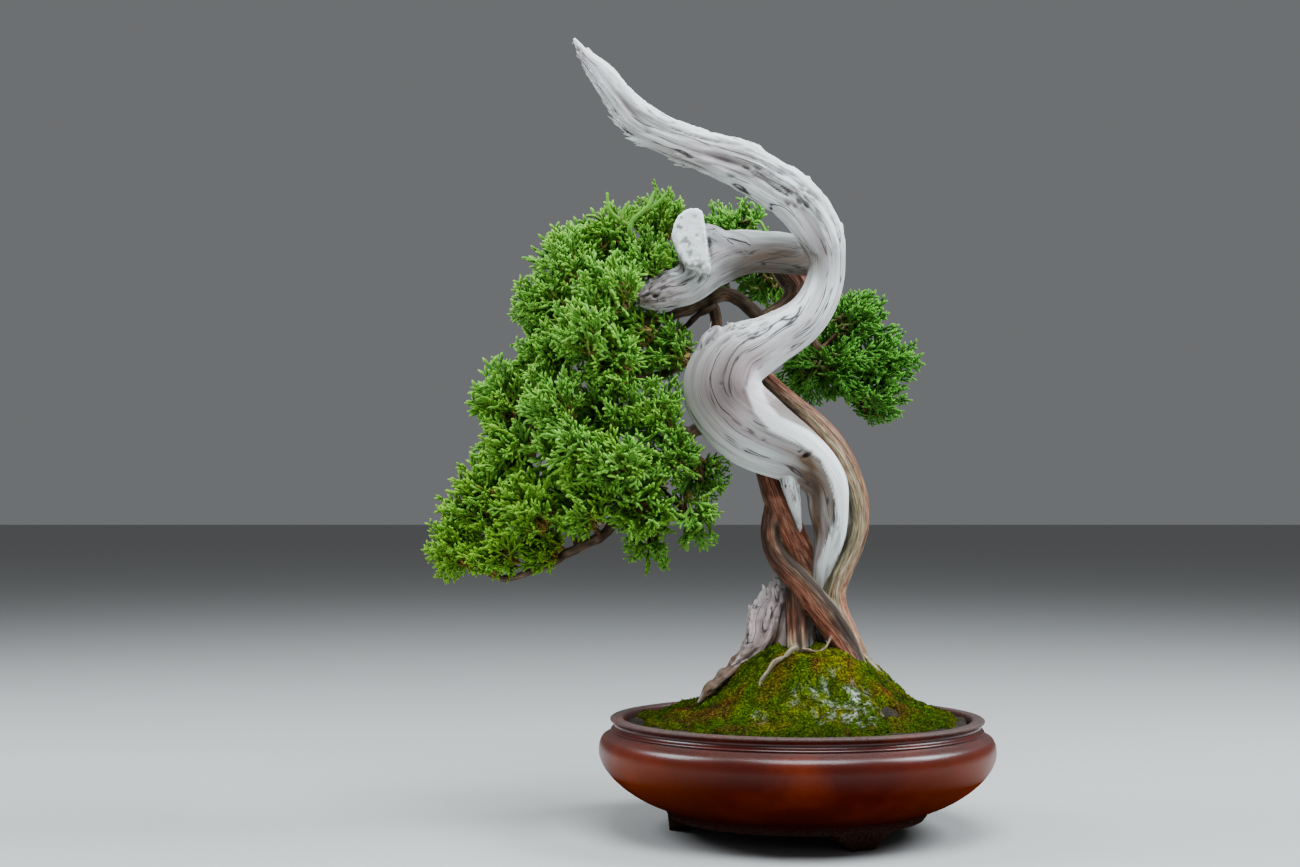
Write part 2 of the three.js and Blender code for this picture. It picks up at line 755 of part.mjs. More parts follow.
const tree = new THREE.Group();

function place(name, whole, material) {
  const mesh = new THREE.Mesh(geometryOf(whole), material);
  mesh.name = name;
  tree.add(mesh);
}

const deadwood = join(deadwoodLimbs());
const deadwoodSeat = join(deadwoodLimbs(GAP));
const liveWood = largest(join(liveLimbs()).subtract(deadwoodSeat));
const woodSeat = deadwoodSeat.add(join(liveLimbs(GAP)));

place("pot", pot(), clay);
place("drain_screen", drainScreen(), meshPlastic);
place("screen_wire", screenWire(), bareAluminium);
place("soil", largest(soil().subtract(woodSeat).subtract(screenWire(GAP))), mossyEarth);
place("deadwood", largest(deadwood), silverWood);
place("live_wood", liveWood, redBark);

const allTufts = Object.values(BRANCHES).flatMap(({ tufts }) => tufts);
for (const [branch, { route, tufts }] of Object.entries(BRANCHES)) {
  tufts.forEach((own, index) => {
    const others = allTufts.filter((other) => other !== own);
    const random = seededRandom(1000 + allTufts.indexOf(own));
    const name = `foliage_${branch}_${String(index + 1).padStart(2, "0")}`;
    place(name, largest(tuftSolid(own, route, others, random).subtract(woodSeat)), scaleLeaf);
  });
}

const outline = new THREE.Box3().setFromObject(tree);
tree.position.set(-(outline.min.x + outline.max.x) / 2, -(outline.min.y + outline.max.y) / 2, -outline.min.z);

export default tree;
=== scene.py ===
import itertools
import math
import random

import bpy
import numpy as np
from mathutils import Matrix, Vector
from mathutils.bvhtree import BVHTree


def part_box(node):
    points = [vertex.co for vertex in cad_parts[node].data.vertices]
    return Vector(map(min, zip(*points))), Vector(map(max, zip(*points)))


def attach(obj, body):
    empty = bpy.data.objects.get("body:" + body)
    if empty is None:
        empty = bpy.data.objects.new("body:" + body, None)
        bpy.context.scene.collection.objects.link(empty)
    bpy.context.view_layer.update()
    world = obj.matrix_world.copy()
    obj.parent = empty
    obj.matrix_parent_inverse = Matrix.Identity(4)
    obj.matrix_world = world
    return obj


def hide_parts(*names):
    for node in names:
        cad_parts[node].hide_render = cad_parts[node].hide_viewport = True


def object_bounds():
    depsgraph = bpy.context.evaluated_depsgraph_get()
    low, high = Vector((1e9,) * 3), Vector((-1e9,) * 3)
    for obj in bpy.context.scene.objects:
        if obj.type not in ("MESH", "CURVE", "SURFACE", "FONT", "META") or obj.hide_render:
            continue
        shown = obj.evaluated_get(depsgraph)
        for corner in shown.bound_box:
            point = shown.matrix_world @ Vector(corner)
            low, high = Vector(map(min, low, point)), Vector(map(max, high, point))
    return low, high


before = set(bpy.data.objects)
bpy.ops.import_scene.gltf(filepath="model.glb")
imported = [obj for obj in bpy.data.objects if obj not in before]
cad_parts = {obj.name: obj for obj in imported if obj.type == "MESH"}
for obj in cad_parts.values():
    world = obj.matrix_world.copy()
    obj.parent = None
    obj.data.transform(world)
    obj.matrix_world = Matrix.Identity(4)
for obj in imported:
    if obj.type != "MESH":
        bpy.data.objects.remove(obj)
cadLow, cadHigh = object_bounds()
print("packed model loaded")

# Everything is shaped in millimetres from the pot's axis at the level of its feet, as the tree was
# measured, and taken to its place in metres when a piece is finished.
potLow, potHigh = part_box("pot")
potAxis = Vector(((potLow.x + potHigh.x) / 2, (potLow.y + potHigh.y) / 2, potLow.z))
intoFrame = Matrix.Translation(potAxis) @ Matrix.Scale(0.001, 4)


# helpers

def linearColour(hexColour):
    channels = [int(hexColour[i:i + 2], 16) / 255 for i in (1, 3, 5)]
    linear = [c / 12.92 if c <= 0.04045 else ((c + 0.055) / 1.055) ** 2.4 for c in channels]
    return (*linear, 1.0)


def deselectAll():
    if bpy.context.object and bpy.context.object.mode != "OBJECT":
        bpy.ops.object.mode_set(mode="OBJECT")
    bpy.ops.object.select_all(action="DESELECT")


def chooseOnly(thing):
    deselectAll()
    thing.select_set(True)
    bpy.context.view_layer.objects.active = thing


def newPiece(name, points, faces):
    mesh = bpy.data.meshes.new(name)
    mesh.from_pydata(np.asarray(points, float).tolist(), [], faces)
    mesh.update()
    piece = bpy.data.objects.new(name, mesh)
    bpy.context.scene.collection.objects.link(piece)
    return piece


def useModifier(piece, kind, **settings):
    chooseOnly(piece)
    modifier = piece.modifiers.new(kind.lower(), kind)
    for setting, value in settings.items():
        setattr(modifier, setting, value)
    bpy.ops.object.modifier_apply(modifier=modifier.name)


def meshPoints(piece):
    flat = np.empty(len(piece.data.vertices) * 3, np.float32)
    piece.data.vertices.foreach_get("co", flat)
    return flat.reshape(-1, 3).astype(float)


def meshNormals(piece):
    flat = np.empty(len(piece.data.vertices) * 3, np.float32)
    piece.data.vertex_normals.foreach_get("vector", flat)
    return flat.reshape(-1, 3).astype(float)


def movePoints(piece, points):
    piece.data.vertices.foreach_set("co", points.astype(np.float32).ravel())
    piece.data.update()


# Values for each point, read by the materials: vectors as they are, single values held to 0 to 1.
def storeValues(piece, **layers):
    for name, values in layers.items():
        values = np.asarray(values, np.float32)
        if values.ndim == 1:
            values = values.clip(0, 1)
        kind, field = ("FLOAT", "value") if values.ndim == 1 else ("FLOAT_VECTOR", "vector")
        piece.data.attributes.new(name, kind, "POINT").data.foreach_set(field, values.ravel())


# Edit-mode steps on the whole of a piece, after which its faces are made to point outwards.
def editWhole(piece, *steps):
    chooseOnly(piece)
    bpy.ops.object.mode_set(mode="EDIT")
    for operator, settings in (*steps, (bpy.ops.mesh.normals_make_consistent, {"inside": False})):
        bpy.ops.mesh.select_all(action="SELECT")
        operator(**settings)
    bpy.ops.object.mode_set(mode="OBJECT")


# From 0 at the start to 1 a width further on, or the other way where the width is negative.
def ramp(values, start, width):
    return np.clip((values - start) / width, 0, 1)


# Shapes, each given as (points, faces), put together as one.
def joined(shapes):
    faces, shift = [], 0
    for points, shapeFaces in shapes:
        faces += [tuple(i + shift for i in face) for face in shapeFaces]
        shift += len(points)
    return np.vstack([points for points, _ in shapes]), faces


# Faces between rings of points, with the ends closed to a first and a last point that follow the rings.
def ringFaces(rings, sides):
    faces = []
    for ring, side in itertools.product(range(rings - 1), range(sides)):
        here, there = ring * sides + side, ring * sides + (side + 1) % sides
        faces.append((here, there, there + sides, here + sides))
    last = (rings - 1) * sides
    for side in range(sides):
        beside = (side + 1) % sides
        faces += [(rings * sides, beside, side), (rings * sides + 1, last + side, last + beside)]
    return faces


def finishPiece(piece, material, nodes=(), smooth=True):
    piece.data.materials.clear()
    piece.data.materials.append(material)
    piece.data.transform(intoFrame)
    piece.data.polygons.foreach_set("use_smooth", [smooth] * len(piece.data.polygons))
    piece.data.update()
    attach(piece, "root")
    if nodes:
        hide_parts(*nodes)


noiseKeys = (73856093, 19349663, 83492791)  # scatter the values at the corners of the noise's cells
seedKey, scatterKey = 668265263, 1274126177


# Noise that is the same each run: smooth values from -1 to 1 between whole-number places.
def smoothNoise(places, seed=0):
    corner = np.floor(places).astype(np.int64)
    part = places - corner
    part = part * part * (3 - 2 * part)
    total = np.zeros(len(places))
    for step in itertools.product((0, 1), repeat=3):
        code = np.bitwise_xor.reduce((corner + step) * noiseKeys, axis=1) ^ seed * seedKey
        code = (code ^ code >> 13) * scatterKey & 0x7FFFFFFF
        code ^= code >> 15
        share = np.prod(np.where(step, part, 1 - part), axis=1)
        total += share * ((code & 0xFFFFF) / 0x7FFFF - 1)
    return total


def flatPlaces(x, y):
    return np.column_stack([x, y, np.zeros(len(x))])


# One node with its settings and its inputs, by name or number: plain values, hex colours or other nodes.
def addNode(material, kind, inputs=None, stops=(), **settings):
    node = material.node_tree.nodes.new("ShaderNode" + kind)
    for setting, value in settings.items():
        setattr(node, setting, value)
    for place, (position, colour) in enumerate(stops):
        colours = node.color_ramp.elements
        stop = colours[place] if place < 2 else colours.new(position)
        stop.position = position
        stop.color = linearColour(colour)
    for name, value in (inputs or {}).items():
        socket = node.inputs[name] if isinstance(name, int) else next(
            s for s in node.inputs if s.enabled and s.name == name)
        if isinstance(value, bpy.types.Node):
            value = next(s for s in value.outputs if s.enabled)
        if isinstance(value, bpy.types.NodeSocket):
            material.node_tree.links.new(value, socket)
        else:
            socket.default_value = linearColour(value) if isinstance(value, str) else value
    return node


def newMaterial(name):
    material = bpy.data.materials.new(name)
    material.use_nodes = True
    material.node_tree.nodes.clear()
    return material


def closeMaterial(material, shaderInputs):
    shader = addNode(material, "BsdfPrincipled", shaderInputs)
    addNode(material, "OutputMaterial", {"Surface": shader})


# Camera at the photograph's place, level, in metres from the pot's axis, with the lens shifted up.
photoView = {"lens": 50.9, "shiftUp": 0.0604, "left": 0.0666, "inFront": 0.838, "height": 0.145}
cameraData = bpy.data.cameras.new("photoCamera")
cameraData.lens = photoView["lens"]
cameraData.sensor_width = 36
cameraData.shift_y = photoView["shiftUp"]
cameraData.clip_start = 0.01
photoCamera = bpy.data.objects.new("photoCamera", cameraData)
photoCamera.location = (potAxis.x - photoView["left"], potAxis.y - photoView["inFront"], photoView["height"])
photoCamera.rotation_euler = (math.pi / 2, 0, 0)
bpy.context.scene.collection.objects.link(photoCamera)
bpy.context.scene.camera = photoCamera


# Limbs: every limb of the tree is lofted through stations (x, y, z, width, thickness), or (x, y, z, width)
# where it is round.

def throughStations(stations, count):
    given = np.array([(*row, row[3])[:5] for row in stations], float)
    padded = np.vstack([2 * given[0] - given[1], given, 2 * given[-1] - given[-2]])
    at = np.linspace(0, len(given) - 1, count)
    first = np.minimum(at.astype(int), len(given) - 2)
    part = (at - first)[:, None]
    p0, p1, p2, p3 = (padded[first + i] for i in range(4))
    leave, arrive = (p2 - p0) / 2, (p3 - p1) / 2
    cubic = (2 * p1 - 2 * p2 + leave + arrive) * part ** 3
    square = (3 * p2 - 3 * p1 - 2 * leave - arrive) * part ** 2
    return cubic + square + leave * part + p1, at


def unit(vectors):
    return vectors / np.maximum(np.linalg.norm(vectors, axis=-1, keepdims=True), 1e-9)


# Where a limb runs: its centres, the directions along, across and through it, its half sizes and
# the length from its start.
def runLimb(stations, spacing=1.0):
    rough, _ = throughStations(stations, 60)
    length = np.linalg.norm(np.diff(rough[:, :3], axis=0), axis=1).sum()
    count = max(int(length / spacing), len(stations) * 2)
    placed, station = throughStations(stations, count)
    centres = placed[:, :3]
    half = np.maximum(placed[:, 3:5], 0.8) / 2
    along = unit(np.gradient(centres, axis=0))
    chord = unit(centres[-1] - centres[0])
    facing = np.array([0, 0, 1.0] if abs(chord[1]) > 0.75 else [0, 1.0, 0])
    across = unit(np.cross(facing, along))
    through = np.cross(along, across)
    steps = np.linalg.norm(np.diff(centres, axis=0), axis=1)
    length = np.concatenate([[0], np.cumsum(steps)])
    return {"centres": centres, "along": along, "across": across, "through": through,
            "half": half, "length": length, "station": station}


# Flutes are rounded grooves that wind round the limb. Squareness under 1 makes its section blocky.
def loftLimb(run, sides=16, flutes=0, groove=0.0, wind=0.0, squareness=1.0):
    angle = np.linspace(0, 2 * math.pi, sides, endpoint=False)
    fluted = 1 + groove * np.cos(flutes * angle[None, :] + wind * run["station"][:, None])
    flat = np.sign(np.cos(angle)) * np.abs(np.cos(angle)) ** squareness
    deep = np.sign(np.sin(angle)) * np.abs(np.sin(angle)) ** squareness
    wide = run["half"][:, :1] * fluted * flat
    thick = run["half"][:, 1:] * fluted * deep
    rings = run["centres"][:, None] + run["across"][:, None] * wide[..., None]
    rings = rings + run["through"][:, None] * thick[..., None]
    rounding = 0.4 * squareness * run["half"].min(axis=1)
    start = run["centres"][0] - run["along"][0] * rounding[0]
    end = run["centres"][-1] + run["along"][-1] * rounding[-1]
    points = np.vstack([rings.reshape(-1, 3), start, end])
    return points, ringFaces(len(rings), sides)


# For each point: how near it lies to a limb in the limb's own thickness, its angle round the limb, the
# length along it, the station and the limb's half thickness there.
def straightened(points, run):
    centres = run["centres"]
    size = run["half"].mean(axis=1)
    nearest = np.empty(len(points), int)
    ratio = np.empty(len(points))
    atOnce = 4000
    for begin in range(0, len(points), atOnce):
        these = slice(begin, begin + atOnce)
        some = points[these]
        apart = (some ** 2).sum(1)[:, None] + (centres ** 2).sum(1) - 2 * some @ centres.T
        measured = np.sqrt(np.maximum(apart, 0)) / size
        nearest[these] = measured.argmin(1)
        ratio[these] = measured.min(1)
    away = points - centres[nearest]
    wide = (away * run["across"][nearest]).sum(1) / run["half"][nearest, 0]
    thick = (away * run["through"][nearest]).sum(1) / run["half"][nearest, 1]
    angle = np.arctan2(thick, wide)
    offset = (away * run["along"][nearest]).sum(1)
    return ratio, angle, run["length"][nearest] + offset, run["station"][nearest], size[nearest]


print("tools ready")


# Deadwood: the bleached trunk up to the long top snag, the side snag with its sawn stub, the strip
# beside the slit, the old rootwood at the left and the heart of the stump.
deadwoodShape = {
    "grainSize": 0.72,    # mm between the points of its surface
    "ribHeight": 0.5,     # broad twisted ribs
    "crestHeight": 0.42,  # thin raised crests along the grain
    "crackDepth": 0.4,    # lengthwise drying cracks
    "fibreHeight": 0.12,
    "roughness": 1.0,     # broken and pitted places
    "ribRadius": 13,      # of the straightened limb that the grain is drawn on, at most
    "bandHeight": 0.8,    # of the white band over the wood beside it
    "bandWidth": 8,
    "splinterWidth": 0.2,  # of a splinter's length
    "highest": 358.3,
}

trunk = [
    (9.5, 6, 100, 8, 10), (11.5, 5, 109, 10, 12), (12.5, 3, 120, 11, 13), (15, 0, 134, 14, 15),
    (14.5, -2, 146, 17.5, 17), (12.5, -4, 159, 20, 18), (1.5, -6, 170, 26, 20), (-18, -10, 182, 35, 22),
    (-30, -13, 193, 35, 23), (-33.5, -15, 203, 35, 23), (-27.5, -13, 214, 31, 21),
    (-13.5, -10, 222, 24, 19), (2, -6, 232, 20, 18), (10.5, -3, 244, 18, 17), (13.5, -2, 258, 17, 16),
    (10.5, -2, 271, 21, 17), (1, -2, 285, 22, 16), (-12.5, -3, 295, 21.5, 15), (-27, -5, 303, 21, 14),
    (-44, -7, 309, 18, 13), (-58.5, -8, 315, 16.5, 12), (-71, -9, 322, 17, 11), (-81, -10, 333, 12.5, 9),
    (-89, -11, 343, 10, 7), (-95.5, -12, 350, 6, 5), (-101, -12, 358, 1.6, 2),
]
slitStrip = [
    (-3, -5, 173, 14, 10), (-3.8, -8, 160, 9, 8), (-1.6, -7, 150, 6.5, 6), (0, -6, 143, 4),
    (1.5, -4, 137, 2.4, 2.5),
]
sideSnag = [
    (12, -1, 259, 14), (4, 7, 262, 17.5, 14), (-6.5, 12, 264.5, 19, 15), (-19.5, 13, 265, 20, 16),
    (-30.5, 11, 263, 23, 17), (-40, 7, 258.5, 24.5, 18), (-48.5, 3, 250, 19.5, 16),
    (-57.5, 0, 246.5, 17.5, 15), (-65.5, -3, 243.5, 14.5, 13), (-72.5, -5, 242, 7.5, 8),
]
snagStub = [
    (-42, -1, 254, 7, 9), (-43.5, -4, 260, 8, 9), (-46.5, -5, 268, 9), (-48.5, -5, 274, 8),
]
snagSpurs = [
    [(-84, -10, 338, 6, 5), (-90.5, -9, 347, 4, 4), (-95, -9, 354.5, 1.4, 1.6)],
    [(-60, -8, 313, 9, 8), (-69, -8, 314.5, 8, 7), (-76, -8, 317.5, 4, 5), (-78, -8, 319, 1.4, 2)],
    [(-40, -7, 304.5, 8, 8), (-50, -6, 304.5, 7, 6), (-57, -6, 306, 3, 4), (-59, -6, 307, 1.2, 2)],
    [(-12, -4, 300, 9, 8), (-18, -4, 309, 5, 5), (-23, -4, 313, 2.4, 3)],
    [(-24, 10, 266, 15, 13), (-33, 8, 268.5, 13, 12), (-38, 5, 271.5, 11, 11), (-42, 1, 273, 8, 9)],
    [(-36, -12, 211, 18, 14), (-38, -13, 219, 15, 11), (-36.8, -13.5, 225, 9, 8),
     (-36.2, -13.5, 228.4, 3, 4)],
    [(-23, -12, 215, 16, 13), (-27, -13, 223, 13, 10), (-29.6, -13.5, 227, 8, 8),
     (-30.4, -13.5, 229.6, 2.4, 3.6)],
    [(12, -2, 262, 8, 8), (19.5, -3, 272, 3, 4), (20.5, -3, 276, 1.2, 1.6)],
    [(1, -3, 288, 8, 7), (5, -3, 294.5, 3, 4), (5.5, -3, 297.5, 1.2, 1.6)],
]
rootwood = [
    (-5.5, 3, 116, 5, 6), (-8.5, 2, 107, 12, 9), (-12.5, 1, 97.5, 17, 13), (-15, -2, 88, 16, 13),
    (-21.5, -5, 80, 12, 11), (-27, -8, 76, 7.5, 8), (-30.5, -10, 73.2, 6, 6.5),
    (-33.5, -11.5, 71.2, 7, 7.2), (-36.5, -13.2, 68.4, 5, 5.4), (-39.5, -15, 66.4, 5.8, 6),
    (-42.5, -16.5, 63, 3.4, 4), (-45, -17.5, 59.5, 2, 2.4),
]
rootwoodSpurs = [
    [(-12, 0, 100, 8, 8), (-14.4, 0, 105, 5.5, 5), (-15, 0, 109, 3, 3.4)],
    [(-15, 0, 91, 10, 9), (-19.4, 0, 95, 8, 7), (-20.2, 0, 98.5, 4, 5)],
    [(-8, -1, 104, 8, 8), (-9.4, -2, 110.5, 6, 6), (-8.8, -2, 115, 3.2, 3.4)],
]
stump = [
    (9, 6, 108, 13, 15), (4, 6, 98, 20), (1, 5, 87, 25, 24), (1, 3, 74, 31, 29), (1, 2, 60, 34, 32),
]

# Hollows and holes carved in the wood's front or back: x, z, half length, half width, tilt in degrees,
# depth.
frontHollows = [
    (-32, 303.2, 12, 2.0, -17, 1.7), (-49.4, 304.8, 2.8, 0.8, -20, 1.6), (-23, 299.8, 2.6, 0.8, -25, 1.6),
    (-30.5, 296.2, 2.6, 1.0, -20, 1.2), (-10, 291, 7, 1.0, -35, 1.3), (4, 283.5, 2.4, 1.1, -50, 1.8),
    (9.5, 278.5, 4.5, 1.0, -60, 1.5), (-63.8, 242.4, 2.0, 1.3, 15, 3.0), (-68, 243, 2.2, 0.8, 30, 1.8),
    (-50, 250, 7, 0.8, 32, 1.6), (-43.5, 251, 3.6, 0.8, 45, 2.0), (-38.9, 265, 8, 0.7, -82, 1.6),
    (-35.4, 201.5, 0.7, 0.6, 0, 1.4), (-15.9, 177, 0.7, 0.6, 0, 1.4), (3.6, 170.4, 2.6, 1.3, 35, 3.0),
    (0.6, 172, 2.0, 0.5, 10, 1.2), (7.4, 152, 14, 2.4, -80, 1.5), (-28, 184.5, 3.6, 0.5, -38, 1.2),
    (-22, 181, 2.6, 0.5, -35, 1.2), (-12, 96, 8, 0.9, 65, 1.6), (-8, 106, 6, 0.8, 75, 1.5),
    (-22, 81, 7, 0.9, 35, 1.4), (-41, 221, 8, 0.6, 48, 1.1), (-33, 221.5, 7, 0.6, 40, 1.2),
    (-20, 224.5, 9, 0.5, 22, 1.0),
]
backHollows = [
    (-28, 262, 12, 1.8, 3, 2.4), (-30, 200, 14, 2.2, 70, 2.6), (-40, 307, 14, 1.8, -20, 2.2),
    (10, 150, 14, 1.6, 86, 2.4),
]

# Brown stains in the silver, those under the side snag's ridge also standing in for painted shade: x, z,
# reach, strength.
stainAndShadeSpots = [
    (4, 170, 3, 0.5), (-4, 263, 9, 0.45), (-19, 261, 9, 0.4), (5, 256, 6, 0.4), (-66, 243, 6, 0.3),
    (-58, 246, 6, 0.2), (-70, 241, 4, 0.5), (-24, 79, 7, 1.0), (-31, 73, 8, 1.2), (-42, 63, 10, 1.5),
    (-10, 86, 8, 0.9), (1, 88, 12, 0.6), (4, 104, 9, 0.6), (-24, 300, 4, 0.35), (5, 281, 5, 0.2),
    (-74, 317, 3, 0.3), (-55, 306, 3, 0.3), (0, 139, 4, 0.4), (-5, 258, 14, 0.2), (-12, 255, 12, 0.25),
    (14, 279, 6, 0.25),
]

# Grey weathered places that also carry painted shade, strongest under the side snag's ridge, on the lobe and
# in the hollow by the middle root, and pinkish ones: x, z, reach along x and along z, strength.
greyAndShadePlaces = [
    (-36, 208, 20, 24, 0.85), (-14, 182, 15, 10, 0.3), (-35, 70, 12, 8, 1.0), (-12, 258, 30, 10.5, 1.5),
    (-62, 245, 12, 8, 0.6), (3, 287, 10, 7, 0.6), (-20, 297, 14, 3, 0.4), (-56, 247, 14, 6, 0.3),
    (5, 96, 10, 22, 0.8),
]
pinkPlaces = [
    (-30, 200, 22, 24, 0.9), (-62, 245, 12, 7, 0.6), (-18, 92, 22, 30, 1.0), (-45, 306, 24, 6, 0.35),
]

# The sawn stub is a block: its outline (x, z) as seen from the front, and where its front and back lie.
stubOutline = [
    (-43.2, 254), (-49.6, 255.6), (-52.8, 259.4), (-54.8, 264.6), (-56.6, 269.6), (-55.8, 274.2),
    (-53.6, 278.4), (-50.6, 280.9), (-47.2, 281.5), (-43.4, 280.6), (-42.6, 276.4), (-41.4, 268.5),
    (-40.4, 261), (-39.2, 254.2),
]
stubDepth = (-13.6, 4.0)

# The crisp left edge of the white band down the front of the trunk, as (x, z).
bandEdge = [
    (10, 229), (0.8, 220.1), (-12.8, 214.9), (-22.1, 206.6), (-25.3, 199.3), (-21.1, 188.9), (-13.8, 180.6),
    (0.8, 174.3), (9.6, 168.1), (14.4, 158), (16.8, 149), (16.6, 142), (13.2, 132.3), (9, 121), (8, 112),
]

# Each limb with what its loft is given.
deadLimbs = [
    (trunk, {"sides": 44, "flutes": 3, "groove": 0.06, "wind": 0.45}),
    (slitStrip, {}),
    (sideSnag, {"sides": 36, "flutes": 3, "groove": 0.05, "wind": 0.3}),
    (snagStub, {"sides": 32, "squareness": 0.6}),
    *[(spur, {}) for spur in snagSpurs],
    (rootwood, {"sides": 30, "flutes": 4, "groove": 0.12, "wind": 0.2}),
    *[(spur, {}) for spur in rootwoodSpurs],
    (stump, {"sides": 36, "flutes": 4, "groove": 0.06}),
]


grainTwist = 150  # mm along a limb in which its grain turns through one radian
limbBlend = 0.14  # how softly the grain of one limb passes into the next, in its thickness
# Breadth round a limb and length along it of the patterns that make up the grain, in mm.
grainPatterns = {"ribs": (6.5, 70), "crests": (3.6, 52), "cracks": (4.2, 48), "crackWander": (1.6, 18),
                 "crackBreaks": (6, 24), "fibres": (1.2, 18)}


# The grain's own height over a limb, from the straightened wood: ribs, crests, cracks and fibres.
def grainHeight(angle, length, radius, shape, seed):
    around = np.stack([np.cos(angle) * radius, np.sin(angle) * radius], axis=1)

    def stretched(pattern, shift):
        width, run = grainPatterns[pattern]
        return smoothNoise(np.column_stack([around / width, length / run]), seed + shift)

    ribs = shape["ribHeight"] * stretched("ribs", 0)
    crests = shape["crestHeight"] * (0.55 - 2 * np.abs(stretched("crests", 1)))
    line = stretched("cracks", 2) + 0.2 * stretched("crackWander", 5)
    cracks = np.exp(-(line / 0.11) ** 2) * np.clip(0.1 + 1.6 * stretched("crackBreaks", 3), 0, 1)
    fibres = shape["fibreHeight"] * stretched("fibres", 4)
    return ribs + crests + fibres - shape["crackDepth"] * cracks, cracks


# Moves the surface of fused limbs by each limb's own grain, blended where limbs meet. A paint function
# gives a limb's own colours from the limb's number, the angle round it and how far along it a point is.
def growGrain(piece, runs, shape, seed, paint=None):
    useModifier(piece, "REMESH", mode="VOXEL", voxel_size=shape["grainSize"])
    useModifier(piece, "SMOOTH", factor=0.5, iterations=2)
    points = meshPoints(piece)
    normals = meshNormals(piece)
    measured = [straightened(points, run) for run in runs]
    ratios = np.array([m[0] for m in measured])
    best = ratios.argmin(0)
    nearness = np.exp(-((ratios - ratios.min(0)) / limbBlend) ** 2)
    nearness[nearness < 0.02] = 0
    nearness /= nearness.sum(0)
    height = np.zeros(len(points))
    crack = np.zeros(len(points))
    grain = np.zeros((len(points), 3))
    station = np.zeros(len(points))
    painted = np.zeros((len(points), 2))
    thickness = np.array([m[4] for m in measured])[best, np.arange(len(points))]
    for limb, run in enumerate(runs):
        near = np.flatnonzero(nearness[limb])
        if not len(near):
            continue
        _, angle, length, place, half = (m[near] for m in measured[limb])
        radius = np.clip(1.3 * half, 2, shape["ribRadius"])
        raised, cracks = grainHeight(angle + length / grainTwist, length, radius, shape, seed + 11 * limb)
        height[near] += nearness[limb, near] * raised
        crack[near] += nearness[limb, near] * cracks
        if paint:
            painted[near] += nearness[limb, near][:, None] * paint(limb, angle, place / run["station"][-1])
        own = best[near] == limb
        mine = near[own]
        twist = angle[own] + length[own] / grainTwist
        grain[mine] = np.column_stack([np.cos(twist) * radius[own], np.sin(twist) * radius[own],
                                       length[own] + 300 * limb])
        station[mine] = place[own] / run["station"][-1]
    height *= np.clip(thickness / 4, 0.3, 1)
    return points, normals, best, height, crack, grain, station, painted, thickness


deadRuns = [runLimb(stations) for stations, _ in deadLimbs]
stubCount = len(stubOutline)
stubPoints = np.array([(x, y, z) for y in stubDepth for x, z in stubOutline], float)
stubFaces = [tuple(range(stubCount)), tuple(range(2 * stubCount - 1, stubCount - 1, -1))]
for corner in range(stubCount):
    beside = (corner + 1) % stubCount
    stubFaces.append((corner, corner + stubCount, beside + stubCount, beside))
silverDeadwood = newPiece("silverDeadwood", *joined([
    *[loftLimb(run, **{"sides": 14, **ways}) for run, (_, ways) in zip(deadRuns, deadLimbs)],
    (stubPoints, stubFaces)]))
editWhole(silverDeadwood)
points, normals, limbOf, height, crack, grain, station, _, thickness = growGrain(
    silverDeadwood, deadRuns, deadwoodShape, 1)


# How far right of the white band's edge each point lies, and how far down the edge as a share.
def fromBandEdge():
    flat = points[:, ::2]
    nearest, rightOf, share = np.full(len(points), 1e9), np.zeros(len(points)), np.zeros(len(points))
    for number, (start, end) in enumerate(zip(bandEdge, bandEdge[1:])):
        start, step = np.array(start), np.subtract(end, start)
        part = np.clip((flat - start) @ step / (step @ step), 0, 1)
        away = flat - start - part[:, None] * step
        apart = np.hypot(away[:, 0], away[:, 1])
        closer = apart < nearest
        nearest[closer] = apart[closer]
        rightOf[closer] = (apart * np.sign(step[0] * away[:, 1] - step[1] * away[:, 0]))[closer]
        share[closer] = ((number + part) / (len(bandEdge) - 1))[closer]
    return rightOf, share


rootLimb = 4 + len(snagSpurs)  # the rootwood's first limb in the list; its spurs and the stump follow
snagStart = 0.52  # where on the trunk its bare snag begins
isTrunk, isSideSnag, isRoot = limbOf == 0, limbOf == 2, limbOf >= rootLimb
rightOfBand, downBand = fromBandEdge()
atBand = isTrunk * np.clip(0.8 - 2 * normals[:, 1], 0, 1)
atBand *= np.interp(downBand, [0, 0.15, 0.93, 1], [0, 1, 1, 0])
stubLow, stubHigh = np.min(stubOutline, axis=0) - 1, np.max(stubOutline, axis=0) + 1
isStub = (points[:, ::2] > stubLow).all(axis=1) & (points[:, ::2] < stubHigh).all(axis=1)
isStub &= points[:, 1] < -5
grain[isStub] = points[isStub][:, [0, 2, 1]] * (1, 1, 20)  # sawn across, so no grain runs along its face


# How strongly each point lies in any of the listed places; the stub's pale block is in none.
def gathered(places):
    amount = np.zeros(len(points))
    for x, z, reachX, reachZ, strength in places:
        apart = ((points[:, 0] - x) / reachX) ** 2 + ((points[:, 2] - z) / reachZ) ** 2
        amount = np.maximum(amount, strength * np.exp(-apart ** 1.5))
    return np.where(isStub, 0, amount)


